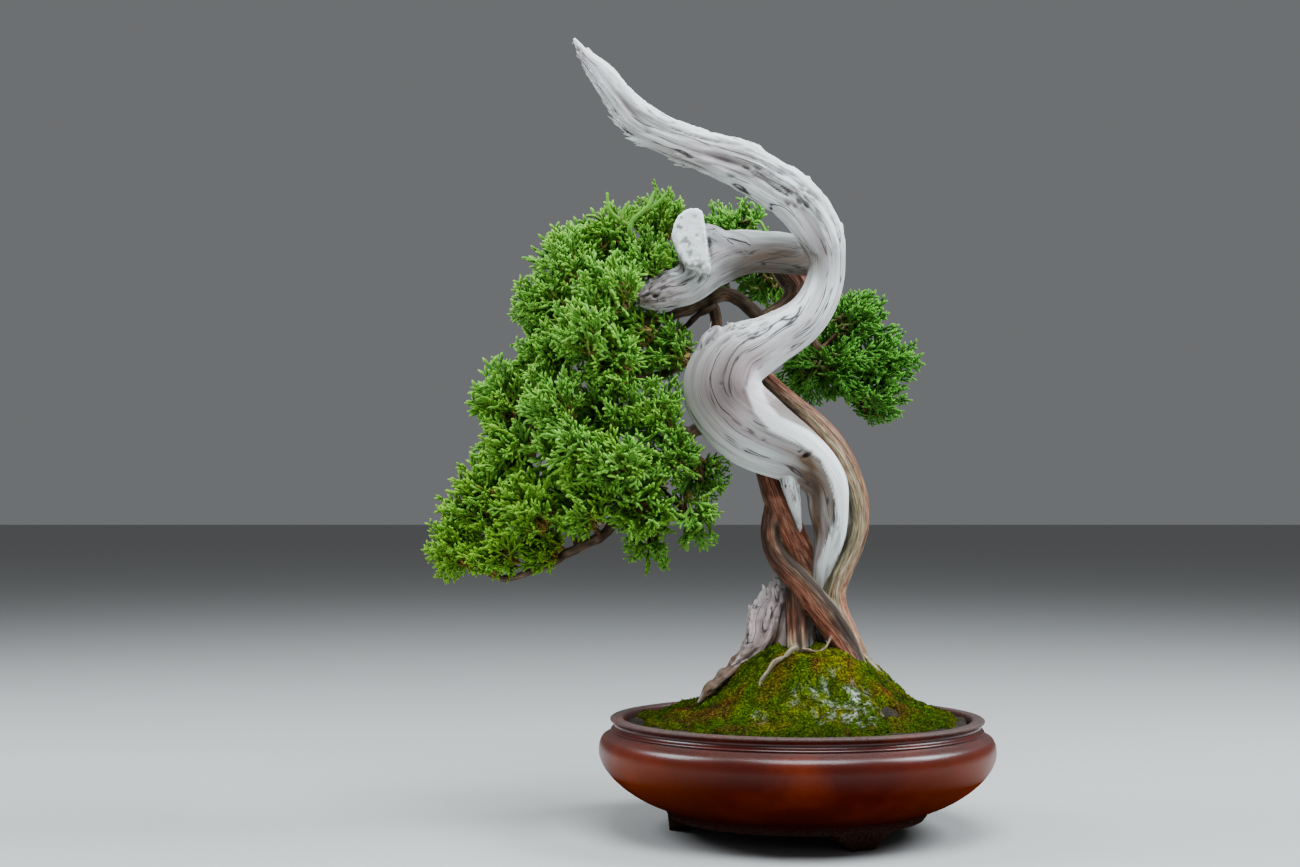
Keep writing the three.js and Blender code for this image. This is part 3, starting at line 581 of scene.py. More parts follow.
# Broken places are pitted: the snag's upper right flank, the stub's face, snag ends and rootwood.
flank = np.clip(0.9 * normals[:, 2] + 0.5 * normals[:, 0] + 0.1, 0, 1)
broken = np.where(isTrunk, 0.6 * flank * ramp(station, snagStart, 0.06), 0)
broken = np.maximum(broken, isTrunk * gathered([(1, 289, 10, 9, 1.0), (-14, 299, 12, 4, 0.6)]))
torn = ramp(points[:, 2], 218, 6) * ramp(points[:, 0], -10, -8)
broken = np.where(isTrunk & (station < snagStart), 0.6 * torn, broken)
broken[isSideSnag] = np.clip((station[isSideSnag] - 0.72) / 0.2, 0, 0.7)
broken[isStub] = 0.35 + 0.7 * (1 - np.abs(normals[isStub, 1]))
broken[isRoot] = np.where(points[isRoot, 0] < -22, 0.9, 0.5)
broken *= ramp(thickness, np.where(isRoot, 1.2, 2.6), np.where(isRoot, 1.5, 2.5))
along = grain / (1, 1, 3.2)  # pits and splinters are stretched along the grain
coarse = smoothNoise(along / 2.4, 71)
pits = ramp(np.abs(smoothNoise(along / 1.1, 72)), 0.3, 1)
downTrunk = np.interp(station, [0, 0.2, 0.28, 0.42, 0.5, 0.62, 1], [0.4, 0.35, 0.14, 0.16, 0.5, 1.3, 1.6])
height *= np.select([isRoot, isStub, isTrunk], [1.4, 0.1, downTrunk], 1.0)  # how weathered each part is
# Cracks and pits are painted dark: partly the wood's own dark cracks, partly painted shade inside them.
crack *= np.where(isTrunk, np.interp(station, [0, 0.42, snagStart], [0.15, 0.15, 0.7]), 0.7)
crack *= np.where(isStub, 0.2, 1.0)
height += deadwoodShape["roughness"] * broken * (0.8 * coarse - 2.4 * pits)
crack = np.clip(crack + 1.3 * broken * pits, 0, 1)
# The band stands proud of the wood beside it, most at its edge.
bandRise = np.clip(0.5 + rightOfBand / 1.4, 0, 1) * np.exp(-np.clip(rightOfBand, 0, 99) / 5)
height += deadwoodShape["bandHeight"] * atBand * bandRise

# Each hollow is carved in and painted dark inside as painted shade.
carved = np.zeros(len(points))
facings = [-1] * len(frontHollows) + [1] * len(backHollows)
for facing, (x, z, halfLength, halfWidth, tilt, depth) in zip(facings, frontHollows + backHollows):
    turned = math.radians(tilt)
    alongIt = (points[:, 0] - x) * math.cos(turned) + (points[:, 2] - z) * math.sin(turned)
    acrossIt = (points[:, 2] - z) * math.cos(turned) - (points[:, 0] - x) * math.sin(turned)
    inside = np.clip(1 - (alongIt / halfLength) ** 2 - (acrossIt / halfWidth) ** 2, 0, 1)
    inside *= np.clip(facing * normals[:, 1] * 2.5, 0, 1)
    carved += depth * inside
    crack = np.clip(crack + 0.5 * depth * inside ** 2, 0, 1.5)
# Painted shade: the low places of the grain are darkened, less on the rootwood and the stub.
hollowShade = ramp(height, -0.1, -0.9) * np.where(isRoot, 0.35, 1.0) * np.where(isStub, 0.2, 1.0)
stainAndShade = np.zeros(len(points))
for x, z, reach, strength in stainAndShadeSpots:
    apart = np.hypot(points[:, 0] - x, points[:, 2] - z) / reach
    stainAndShade += strength * np.exp(-apart ** 2) * (0.75 + 0.5 * smoothNoise(grain / (2.5, 2.5, 14), 73))
# Brown shade lies along the dim side of the band's edge, mostly low on the trunk.
shade = np.interp(downBand, [0, 0.33, 0.47, 0.56, 0.85, 1], [0, 0.05, 0.7, 1.0, 0.95, 0.4])
shade *= 0.9 + 0.3 * smoothNoise(grain / (2, 2, 16), 76)
shade *= np.interp(-rightOfBand, [0, 3, 7], [0.86, 1.0, 1.15])
shadeReach = np.interp(downBand, [0.42, 0.58], [5, 25])
stainAndShade += atBand * shade * (rightOfBand < 0) * np.exp(-(rightOfBand / shadeReach) ** 2)
# The strip right of the band is greyed and browned: partly the wood's own colour, partly painted shade where
# the trunk turns away.
besideBand = atBand * ramp(rightOfBand, deadwoodShape["bandWidth"] - 0.6, 1.6)
besideBand *= np.interp(downBand, [0.28, 0.4, 0.9], [0, 1, 1])
stainAndShade = np.maximum(stainAndShade, 0.42 * besideBand)
tilted = points @ np.array([(0.8, 0.36, -0.48), (-0.6, 0.48, -0.64), (0, 0.8, 0.6)])  # hides the noise's grid
speckled = smoothNoise(tilted / 3.1, 75) + 0.8 * smoothNoise(tilted / 1.3, 77)
speckled = np.clip(2.2 * speckled - 0.5, 0, 1) * isStub
# Limed white on the band and the stub, and a painted highlight on the top of the side snag and on the
# upward-facing side of the trunk's snag.
limedAndLit = 0.5 * atBand * ramp(rightOfBand, 0, 1.5) * ramp(rightOfBand, deadwoodShape["bandWidth"] + 0.8, -1.6)
limedAndLit = np.maximum(limedAndLit, 0.5 * isSideSnag * ramp(points[:, 2], 268, 3))
limedAndLit = np.maximum(limedAndLit, 0.6 * isTrunk * ramp(station, 0.5, 0.06) * np.clip(1.6 * normals[:, 2], 0, 1))
limedAndLit = np.where(isStub, 0.9 - 0.7 * speckled, limedAndLit)
greyedAndShaded = np.maximum(gathered(greyAndShadePlaces), 0.9 * besideBand)
greyedAndShaded *= 0.9 + 0.25 * smoothNoise(grain / (3, 3, 20), 74)
moved = points + normals * (height - carved)[:, None]
moved[:, 2] = np.minimum(moved[:, 2], deadwoodShape["highest"])
movePoints(silverDeadwood, moved)
woodLayers = {"crack": crack, "stainAndShade": stainAndShade, "hollowShade": hollowShade, "limedAndLit": limedAndLit,
              "pinkish": gathered(pinkPlaces), "greyedAndShaded": greyedAndShaded + speckled}
storeValues(silverDeadwood, grain=grain, **woodLayers)
print("deadwood shaped", len(silverDeadwood.data.polygons))

# Splinters stand along the torn edges. Each bed: x, z, reach along x and along z, the way that its edge
# faces (x, z), how many splinters, their length in mm.
splinterBeds = [
    (-98, 350, 5, 9, -0.8, -0.4, 9, 3.2), (-90, 338, 7, 9, -0.8, -0.5, 12, 4.2),
    (-81, 322, 8, 8, -0.6, -0.7, 16, 4.6), (-68, 312, 10, 6, -0.4, -0.9, 15, 5.2),
    (-53, 304, 9, 6, -0.3, -0.9, 10, 4.8), (-36, 296, 10, 6, -0.2, -1, 5, 2.6),
    (-21, 311, 8, 5, 0.2, 1, 5, 3.0), (0, 300, 7, 6, 0.5, 0.8, 6, 2.8), (13, 285, 6, 7, 0.9, 0.4, 6, 2.6),
    (-38, 225, 6, 5, -0.5, 0.8, 7, 3.6), (-29, 228, 5, 4, 0.1, 1, 6, 3.4), (-18, 230, 8, 5, 0, 1, 6, 2.4),
    (-72, 243, 5, 6, -1, 0, 12, 3.0), (-60, 239, 8, 4, 0, -1, 6, 2.6), (-54, 258, 8, 6, -0.5, 0.8, 8, 3.0),
    (-20, 98, 4, 5, -0.3, 0.9, 9, 2.8), (-15, 109, 4, 5, 0, 1, 8, 3.0), (-9, 115, 4, 4, 0, 1, 8, 3.4),
    (-22, 90, 5, 9, -1, 0, 11, 3.0), (-32, 74, 8, 6, -0.4, 0.8, 11, 2.6), (0, 140, 3, 4, 0, -1, 6, 2.4),
]
splinterLayers = {"crack": 0.4, "hollowShade": 0.5}  # shares that splinters take on; the others in full


# One splinter: an angular sliver that starts under the surface and lies along the grain.
def modelSplinter(at, length, draw):
    limb = limbOf[at]
    run = deadRuns[limb]
    nearest = np.abs(run["station"] / run["station"][-1] - station[at]).argmin()
    onward = run["along"][nearest] * (-1 if limb == rootLimb and moved[at, 2] > 80 else 1)
    heading = unit(onward + normals[at] * draw.uniform(0.0, 0.26))
    side = unit(np.cross(heading, normals[at]))
    lift = np.cross(side, heading)
    width = length * deadwoodShape["splinterWidth"] * draw.uniform(0.6, 1.5)
    middle = side * draw.uniform(-0.08, 0.08) * length + heading * 0.5 * length
    corners, fifthTurn = [], 1.257
    for centre, size in ((-0.4 * length * heading, 1.0), (middle, 0.8)):
        for corner in range(5):
            angle = corner * fifthTurn + draw.uniform(-0.3, 0.3)
            out = side * math.cos(angle) * width + lift * math.sin(angle) * 0.6 * width
            corners.append(centre + out * size * draw.uniform(0.7, 1.2))
    corners.append(heading * draw.uniform(0.75, 1) * length + side * draw.uniform(-0.1, 0.1) * length)
    shape = np.array(corners)
    own = grain[at] + np.column_stack([shape @ side, shape @ lift, shape @ heading])
    return shape + moved[at] - normals[at] * 0.5 * width, own


splinterFaces = [(4, 3, 2, 1, 0)] + [(k, (k + 1) % 5, (k + 1) % 5 + 5, k + 5) for k in range(5)]
splinterFaces += [(k + 5, (k + 1) % 5 + 5, 10) for k in range(5)]
splinterDraw = random.Random(12)
splinters, splinterAt = [], []
for x, z, reachX, reachZ, wayX, wayZ, count, length in splinterBeds:
    within = ((points[:, 0] - x) / reachX) ** 2 + ((points[:, 2] - z) / reachZ) ** 2 < 1
    facing = (normals[:, 0] * wayX + normals[:, 2] * wayZ) / math.hypot(wayX, wayZ) > 0.5
    bed = np.flatnonzero(within & facing & ~isStub).tolist()
    for at in splinterDraw.sample(bed, min(count, len(bed))):
        splinters.append(modelSplinter(at, length * splinterDraw.uniform(0.4, 1.5), splinterDraw))
        splinterAt += [at] * len(splinters[-1][0])
splinterPoints, faces = joined([(shape, splinterFaces) for shape, _ in splinters])
splinterPoints[:, 2] = np.minimum(splinterPoints[:, 2], deadwoodShape["highest"])
tornSplinters = newPiece("tornSplinters", splinterPoints, faces)
storeValues(tornSplinters, grain=np.vstack([own for _, own in splinters]), **{
    name: splinterLayers.get(name, 1.0) * values[splinterAt] for name, values in woodLayers.items()})
print("splinters placed", len(splinters))


# Sun-bleached juniper deadwood, lime-sulphured: cool near-white wood with lilac-grey streaks and hairline
# drying cracks along the grain, dull all over, with painted grey-brown shade in its hollows, cracks and holes
# and where it faces down or turns away, and a painted highlight on the upper sides of the snags.
silverWood = newMaterial("bleachedJuniperDeadwood")
grainAt = addNode(silverWood, "Attribute", attribute_name="grain").outputs["Vector"]
crackAt, stainAndShadeAt, hollowShadeAt, pinkishAt, greyedAndShadedAt, limedAndLitAt = (
    addNode(silverWood, "Attribute", attribute_name=name).outputs["Fac"]
    for name in ("crack", "stainAndShade", "hollowShade", "pinkish", "greyedAndShaded", "limedAndLit"))
fibres, streaks, wander, breaks = (
    addNode(silverWood, "TexNoise", {
        "Vector": addNode(silverWood, "Mapping", {"Vector": grainAt, "Scale": scale}),
        "Scale": 1.0, "Detail": detail, "Roughness": rough})
    for scale, detail, rough in (
        ((1.4, 1.4, 0.05), 4.0, 0.6),     # fibres under 1 mm wide
        ((0.2, 0.2, 0.012), 3.0, 0.5),    # streaks 5 mm wide
        ((0.09, 0.09, 0.03), 2.0, 0.5),   # how the hairlines wander
        ((0.25, 0.25, 0.05), 2.0, 0.5)))  # where they break off
fibreColour = addNode(silverWood, "ValToRGB", {"Fac": fibres}, stops=[
    (0.30, "#bebbbb"), (0.44, "#e1e4e4"), (0.62, "#f0f4f4")])
streakColour = addNode(silverWood, "ValToRGB", {"Fac": streaks}, stops=[
    (0.38, "#d8cccf"), (0.50, "#e9e7e6"), (0.60, "#f8faf9")])
# Hairlines: the edges of long narrow cells that wander a little, broken up by a noise.
wandering = addNode(silverWood, "VectorMath", {0: wander.outputs["Color"], 1: (7, 7, 0), 2: grainAt},
                    operation="MULTIPLY_ADD")
lineAt = addNode(silverWood, "Mapping", {"Vector": wandering, "Scale": (0.26, 0.26, 0.006)})
lineEdges = addNode(silverWood, "TexVoronoi", {"Vector": lineAt, "Scale": 1.0}, feature="DISTANCE_TO_EDGE")
hairline = addNode(silverWood, "MapRange", {"Value": lineEdges, "From Min": 0.01, "From Max": 0.055,
                                            "To Min": 1.0, "To Max": 0.0})
opened = addNode(silverWood, "MapRange", {"Value": breaks, "From Min": 0.47, "From Max": 0.53})
hairlineAt = addNode(silverWood, "Math", {0: hairline, 1: opened}, operation="MULTIPLY")
wood = fibreColour
for factor, colour, blend in [
        (0.9, streakColour, "MULTIPLY"), (pinkishAt, "#e2c9c8", "MULTIPLY"),
        (greyedAndShadedAt, "#8b8883", "MULTIPLY"), (hollowShadeAt, "#7c7371", "MIX"), (stainAndShadeAt, "#5f4733", "MIX"),
        (crackAt, "#51453f", "MIX"), (hairlineAt, "#3d3637", "MIX"), (limedAndLitAt, "#f6fbfa", "MIX")]:
    wood = addNode(silverWood, "Mix", {"Factor": factor, "A": wood, "B": colour}, data_type="RGBA",
                   blend_type=blend)
woodBump = addNode(silverWood, "Bump", {"Height": fibres, "Strength": 0.35, "Distance": 0.0004})
closeMaterial(silverWood, {"Base Color": wood, "Roughness": 0.7, "IOR": 1.5,
                           "Specular IOR Level": 0.35, "Normal": woodBump})


# Live wood: the strips of living bark from the roots up, and the branches that they feed.
barkShape = {
    "grainSize": 0.75,
    "ribHeight": 0.4,
    "crestHeight": 0.35,
    "crackDepth": 0.4,
    "fibreHeight": 0.18,
    "ribRadius": 8,
    "clearance": 0.3,     # between the bark and the deadwood beside it
    "section": {"sides": 20, "flutes": 3, "groove": 0.07, "wind": 0.3},
}

backVein = [
    (-7, 33, 266, 9), (-3, 27, 259, 12, 11), (2.5, 25, 251, 13, 11), (-1, 22, 242, 10),
    (-13.5, 20, 233, 9.5, 10), (-21, 16, 222, 9.5, 10), (-17.5, 11, 211.5, 8.5, 10),
    (-9.5, 7, 202.5, 7.5, 10), (-1, 4.5, 194.5, 8, 11), (8.5, 3, 186, 9.5, 12), (17, 3, 176, 10.5, 12),
    (24, 3, 164, 10, 12), (28.5, 3, 150.5, 9.5, 11), (29, 3, 139, 9, 11), (26, 2, 128.5, 9, 11),
    (21.5, 0, 119.5, 9.5, 11), (17.5, -2, 110, 10.5, 12), (17.5, -2, 101, 12.5, 13),
    (21.5, -1, 90.5, 13, 14), (26.5, 1, 81, 12, 13), (33, 4, 70, 9, 10),
]
leftVein = [
    (-34, 12, 186, 8), (-23, 9, 179.5, 8), (-15.5, 3, 169, 8.5, 9), (-12, 1, 159.5, 10, 9),
    (-9, 0, 150.5, 11.5, 10), (-5.5, 0, 141.5, 13.5, 11), (-1.5, 1, 132, 13.5, 11), (3.5, 3, 123, 11, 10),
    (8, 4, 114, 9),
]
crossingVein = [
    (-8.5, 1, 152, 9, 8), (-11, -1, 142, 9.5, 9), (-12, -5, 132.5, 8.5, 9), (-8, -8, 123.5, 10),
    (0, -9, 114.5, 11), (7.5, -9, 105, 12, 11), (14.5, -9, 95.5, 12.5, 11), (20.5, -10, 86, 11),
    (25.5, -13, 77, 8.5, 9), (30, -17, 67, 6, 7), (33, -20, 60, 4, 5),
]
middleRoot = [
    (-1.5, -7, 115, 6, 7), (-1, -8, 105, 8), (-0.5, -9.5, 94, 8.5, 8), (-0.5, -12, 84, 8.5, 8),
    (-0.5, -14, 72, 8),
]
surfaceRoots = [
    [(0, -13, 84, 4), (-3.4, -17.5, 83.4, 3, 3.2), (-7, -20.5, 80.4, 2.4, 2.8), (-11.4, -24, 78.6, 2.6, 2.4),
     (-14.6, -26.5, 74.5, 2.1), (-17.8, -29.5, 70.5, 2.2, 2), (-18.2, -31.5, 66, 1.7),
     (-20, -33.5, 61.5, 1.5)],
    [(1, -14, 83, 3), (4, -17.6, 83.4, 2), (8, -19, 82.6, 1.8), (12, -17.5, 85, 1.7),
     (15, -12.5, 90, 1.7)],
    [(24, -4, 82, 7), (34, -6, 74.5, 4.6, 5), (42, -7, 66, 3, 3.4)],
    [(2, 12, 83, 10), (-3, 20, 82, 7.5), (-8, 28, 77, 6), (-13, 35, 70, 4.6),
     (-16, 39, 65.5, 3.6), (-18, 43, 60, 2.6)],
]

# How red (0 tan-grey, 1 red-brown) and how dark the bark is at even steps along a limb, how much redder
# its reddest side is and at what angle, and the strength, angle and breadth of a dark stripe.
barkLimbs = [
    (backVein, (0.9, 0.75, 0.4, 0.2, 0.1), (0.4, 0.3, 0.15, 0.1, 0.05), (0.45, 180), (0.6, -35, 32)),
    (leftVein, (1.0, 0.95, 0.9), (0.6, 0.5, 0.5), (0.1, 180), (0.0, 0, 1)),
    (crossingVein, (0.2, 0.3, 0.4, 0.45, 0.35), (0.9, 0.8, 0.4, 0.3, 0.3), (0.75, -48), (1.0, -138, 22)),
    (middleRoot, (1.0, 1.0, 0.9, 0.1, 0.0), (0.9, 0.9, 0.7, 0.0, -0.2), (0.0, 0), (0.0, 0, 1)),
    *[(root, (0.3, 0.1), (0.35, 0.2), (0.0, 0), (0.0, 0, 1)) for root in surfaceRoots],
]

# Each branch: its route, and the tufts (x, y, z, radius) that it carries.
branches = {
    "lower": ([
        (-34, 12, 186, 8), (-48, 6, 181, 6.5), (-64, 0, 164, 6), (-78, -4, 148, 5.5), (-87, -6, 135.5, 5),
        (-101, -6, 128, 4.4), (-114, -5, 121, 3.8), (-128, -4, 115.5, 3.2), (-138, -2, 116, 2.6),
        (-149, 0, 123, 2),
    ], [
        (-83, -26, 167, 16), (-60, -17, 170, 15.5), (-43, -6, 160, 14.5), (-146, -4, 150, 17.5),
        (-122, -22, 147, 16.5), (-98, -20, 148, 16), (-73, -18, 147, 16), (-49, -8, 141, 16),
        (-157, 0, 129, 16), (-136, -13, 127, 14.5), (-116, -10, 131, 13), (-66, 0, 130, 13.5),
        (-137, 24, 154, 17.5), (-107, 24, 150, 17.5), (-72, 22, 155, 17),
    ]),
    "middle": ([
        (-48, 6, 181, 6), (-67, 3, 185, 5), (-88, 1, 187, 4.4), (-111, 0, 184, 3.6), (-131, 0, 182, 2.6),
    ], [
        (-134, 0, 198, 17), (-110, -20, 195, 16), (-87, -9, 190, 15.5), (-64, -12, 191, 15.5),
        (-132, -8, 171, 16.5), (-106, -24, 171, 16), (-126, 28, 190, 17.5), (-95, 31, 182, 18),
    ]),
    "upper": ([
        (-12, 21, 233, 8), (-20.5, 22, 240.5, 6.6), (-29, 23, 246.5, 6.4), (-38, 20, 245, 6),
        (-48, 15, 239, 5.4), (-64, 6, 233, 4.8), (-80, 2, 229, 4), (-92, -3, 227, 3.4),
        (-104, -5, 231, 2.8),
    ], [
        (-107, -2, 259, 16), (-86, -14, 246, 16), (-115, -4, 239, 16), (-98, -24, 226, 15.5),
        (-74, 5, 232, 15), (-112, 30, 232, 17.5),
    ]),
    "inner": ([
        (-40, 20, 245, 5), (-36.5, 20, 238, 5.6), (-36, 19, 229, 5), (-41, 17, 220, 4.8),
        (-50, 14, 214, 4.4), (-67, 8, 207, 3.8), (-88, 3, 205, 3), (-104, -2, 209, 2.4),
    ], [
        (-114, -6, 217, 16), (-85, -16, 212, 16), (-60, 7, 219, 15), (-80, 32, 214, 17.5),
    ]),
    "crown": ([
        (-42, 18, 242, 4.6), (-58, 22, 255, 4), (-70, 18, 265, 3.4), (-83, 12, 268, 2.8),
    ], [
        (-63, 12, 282, 14.5), (-90, 8, 273, 15.5), (-70, 0, 261, 14), (-91, 32, 262, 16.5),
        (-58, 34, 262, 15),
    ]),
    "back": ([
        (-6, 30, 262, 7), (-9, 42, 264, 4.6), (-15, 50, 268, 3.6), (-22, 54, 274, 2.6),
    ], [
        (-26, 47, 283, 15), (-12, 60, 259, 16.5), (-38, 56, 262, 15),
    ]),
    "right": ([
        (-2, 22, 242, 7), (8, 35, 230, 5), (20, 43, 213, 4.2), (31, 44, 200, 3.4), (38, 41, 190, 2),
    ], [
        (33, 43, 236, 16), (47, 45, 217, 16.5), (27, 32, 211, 15), (10, 44, 209, 16), (43, 40, 200, 14),
        (26, 64, 224, 17),
    ]),
    "bareTwig": ([
        (-37, 18, 241, 3.4), (-44, 14, 236.5, 2.8), (-50, 12, 231, 2.2), (-58.5, 10, 225.6, 0.8),
    ], []),
}


def barkPaint(limb, angle, share):
    _, reds, darks, (redSide, redAngle), (stripe, stripeAngle, stripeWidth) = barkLimbs[limb]
    red, dark = (np.interp(share, np.linspace(0, 1, len(steps)), steps) for steps in (reds, darks))
    fromStripe = (np.degrees(angle) - stripeAngle + 180) % 360 - 180
    return np.column_stack([red + redSide * np.cos(angle - math.radians(redAngle)),
                            dark + stripe * np.exp(-(fromStripe / stripeWidth) ** 2)])


barkRuns = [runLimb(stations) for stations, *_ in barkLimbs]
barkVeins = newPiece("barkVeins", *joined([loftLimb(run, **barkShape["section"]) for run in barkRuns]))
points, normals, _, height, crack, grain, _, painted, _ = growGrain(
    barkVeins, barkRuns, barkShape, 301, barkPaint)
redness = painted[:, 0] + 0.45 * smoothNoise(grain / (2.4, 2.4, 40), 81)
darkness = painted[:, 1] + 0.35 * smoothNoise(grain / (1.8, 1.8, 26), 82)
darkness += 0.3 * smoothNoise(grain / (1.2, 1.2, 4), 83)
movePoints(barkVeins, points + normals * height[:, None])
storeValues(barkVeins, grain=grain, crack=crack, redness=redness, darkness=darkness)


# The bark is cut back from the deadwood beside it.
def cutBack(piece, wood, clearance):
    cutter = wood.copy()
    cutter.data = wood.data.copy()
    bpy.context.scene.collection.objects.link(cutter)
    movePoints(cutter, meshPoints(cutter) + meshNormals(cutter) * clearance)
    useModifier(piece, "BOOLEAN", object=cutter, operation="DIFFERENCE", solver="MANIFOLD")
    bpy.data.objects.remove(cutter)


cutBack(barkVeins, silverDeadwood, barkShape["clearance"])
print("bark strips shaped", len(barkVeins.data.polygons))

# Branches and twigs: each twig leaves its branch at the nearest point and ends inside its tuft.
branchShape = {"sides": 9, "twigSides": 7, "spacing": 1.6, "twigThickness": (2.8, 1.7),
               "red": 0.45, "twigRed": 0.75}
routes = {name: throughStations(route, 25)[0][:, :3] for name, (route, _) in branches.items()}
branchLofts = []
for name, (route, tufts) in branches.items():
    branchLofts.append((runLimb(route, branchShape["spacing"]), branchShape["sides"], branchShape["red"]))
    for x, y, z, _ in tufts:
        centre = np.array([x, y, z], float)
        root = routes[name][np.linalg.norm(routes[name] - centre, axis=1).argmin()]
        bow = np.cross(centre - root, (0.3, 1, 0.2)) * 0.06
        thick, thin = branchShape["twigThickness"]
        twig = [(*root, thick), (*((root + centre) / 2 + bow), (thick + thin) / 2), (*centre, thin)]
        branchLofts.append((runLimb(twig, branchShape["spacing"]), branchShape["twigSides"],
                            branchShape["twigRed"]))
leafBranches = newPiece("leafBranches", *joined([loftLimb(run, sides) for run, sides, _ in branchLofts]))
grain, branchRed = [], []
for run, sides, red in branchLofts:
    angle = np.tile(np.arange(sides) / sides * 2 * math.pi, len(run["length"]))
    grain.append(np.column_stack([np.cos(angle) * 3, np.sin(angle) * 3, np.repeat(run["length"], sides)]))
    grain.append(np.zeros((2, 3)))
    branchRed += [red] * (len(angle) + 2)
grain = np.vstack(grain)
points = meshPoints(leafBranches)
knobs = smoothNoise(points / 3.2, 91) * 0.55 + smoothNoise(grain / (1.2, 1.2, 6), 92) * 0.3
# The dents between the knobs are painted dark as shade, and the branches are darkened all over, partly as
# painted shade where they lie under the foliage and the snag.
storeValues(leafBranches, grain=grain, crack=-knobs * 2.0,
            redness=branchRed + 0.3 * smoothNoise(points / 6, 93),
            darkness=0.65 + 0.4 * smoothNoise(points / 4, 94))
movePoints(leafBranches, points + meshNormals(leafBranches) * knobs[:, None])
print("branches shaped", len(leafBranches.data.polygons))

# Living juniper bark: thin fibrous strips, red-brown where it was peeled lately and tan-grey where it has
# weathered, with dark lines between the strips; its cracks and dents are painted dark, partly as shade.
liveBark = newMaterial("peelingJuniperBark")
grainAt = addNode(liveBark, "Attribute", attribute_name="grain").outputs["Vector"]
fibreAt = addNode(liveBark, "Mapping", {"Vector": grainAt, "Scale": (1.2, 1.2, 0.12)})
fibres = addNode(liveBark, "TexNoise", {"Vector": fibreAt, "Scale": 1.0, "Detail": 5.0, "Roughness": 0.65})
redStrips = addNode(liveBark, "ValToRGB", {"Fac": fibres}, stops=[
    (0.32, "#3c1a10"), (0.48, "#83452f"), (0.64, "#b57c64")])
bark = addNode(liveBark, "ValToRGB", {"Fac": fibres}, stops=[
    (0.32, "#3f3b2a"), (0.48, "#807659"), (0.64, "#b3aa8c")])
for name, colour in (("redness", redStrips), ("darkness", "#2a1c12"), ("crack", "#2b1a14")):
    amount = addNode(liveBark, "Attribute", attribute_name=name).outputs["Fac"]
    bark = addNode(liveBark, "Mix", {"Factor": amount, "A": bark, "B": colour}, data_type="RGBA")
barkBump = addNode(liveBark, "Bump", {"Height": fibres, "Strength": 0.6, "Distance": 0.0006})
closeMaterial(liveBark, {"Base Color": bark, "Roughness": 0.62, "IOR": 1.5,
                         "Specular IOR Level": 0.2, "Normal": barkBump})


# Foliage: one scale-leaf shoot is modelled, a spray is a fan of forked shoots, a frond is a curved stem
# with sprays along it, and a tuft is some twenty fronds that lean the way its branch grows.
leafTufts = {
    "fronds": 22,          # in a full tuft
    "usualRadius": 16,     # of a tuft, at which its shoots have the lengths given here
    "frondLength": 10.0,
    "sprayLength": 13.5,
    "stemRadius": 0.55,
    "shootRadius": 0.66,
    "swelling": 1.06,      # of a shoot up to its shoulder, where its blunt tip begins
    "shoulder": 0.78,
    "sprays": [(0.3, 50), (0.65, 42), (1.0, 6)],  # place along a frond, and lean in degrees
    "sideShoots": [        # height on the stem, length, turn round it, lean from it, in mm and degrees
        (2.6, 7.4, 0, 46), (5.2, 7.2, 180, 46), (7.6, 6.2, 20, 44), (9.8, 5.2, 200, 42), (11.4, 3.6, 10, 40),
    ],
    "forked": 3,           # of those side shoots, the first that fork again
    "forkLean": 42,        # of a fork from its shoot
    "turnSpread": 34,      # how unevenly shoots are turned and leant, in degrees
    "leanSpread": 8,
    "forkSpread": 30,
    "sprayKinds": 6,
    "sprayScale": (0.82, 1.15),
    "sprayTurn": 2.6,      # round a frond from one spray to the next, in radians
    "sprayWander": 0.06,   # how far sprays and fronds stray from their way
    "frondWander": 0.24,
    "frondScale": (0.9, 1.15),
    "fromWood": 0.7,       # mm kept free of the wood
    "boxMargin": 0.3,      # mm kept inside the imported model's box
    "tipReach": 1.07,      # of a tuft's radius, past which no spray ends
    "besideReach": 1.3,    # the same towards a neighbouring tuft
    "shortened": 0.75,     # a spray that would end past it
    "open": {              # tufts with fewer and longer sprays
        ("lower", 3): 0.55, ("lower", 7): 0.75, ("lower", 8): 0.4, ("lower", 12): 0.35, ("lower", 11): 0.75,
        ("lower", 10): 0.8, ("right", 5): 0.7, ("crown", 2): 0.6, ("back", 1): 0.8,
    },
}


def modelShoot():
    deselectAll()
    bpy.ops.mesh.primitive_circle_add(vertices=3, radius=1, fill_type="NGON")
    shoot = bpy.context.object
    bpy.ops.object.mode_set(mode="EDIT")
    swelling, shoulder = leafTufts["swelling"], leafTufts["shoulder"]
    bpy.ops.mesh.extrude_region_move(TRANSFORM_OT_translate={"value": (0, 0, shoulder)})
    bpy.ops.transform.resize(value=(swelling, swelling, 1), center_override=(0, 0, shoulder))
    bpy.ops.mesh.extrude_region_move(TRANSFORM_OT_translate={"value": (0, 0, 1 - shoulder)})
    bpy.ops.mesh.merge(type="CENTER")
    bpy.ops.mesh.select_all(action="SELECT")
    bpy.ops.mesh.normals_make_consistent(inside=False)
    bpy.ops.object.mode_set(mode="OBJECT")
    points = meshPoints(shoot)
    faces = [tuple(polygon.vertices) for polygon in shoot.data.polygons]
    bpy.data.objects.remove(shoot)
    return points, faces


# A shape's points scaled, turned from straight up to a direction and moved to their start.
def placeShape(points, scale, direction, roll=0, start=0):
    turned = Vector(direction).to_track_quat("Z", "Y").to_matrix() @ Matrix.Rotation(roll, 3, "Z")
    return points * scale @ np.array(turned).T + start


shootPoints, shootFaces = modelShoot()


def slanted(turn, lean):
    turn, lean = math.radians(turn), math.radians(lean)
    return np.array([math.cos(turn) * math.sin(lean), math.sin(turn) * math.sin(lean), math.cos(lean)])


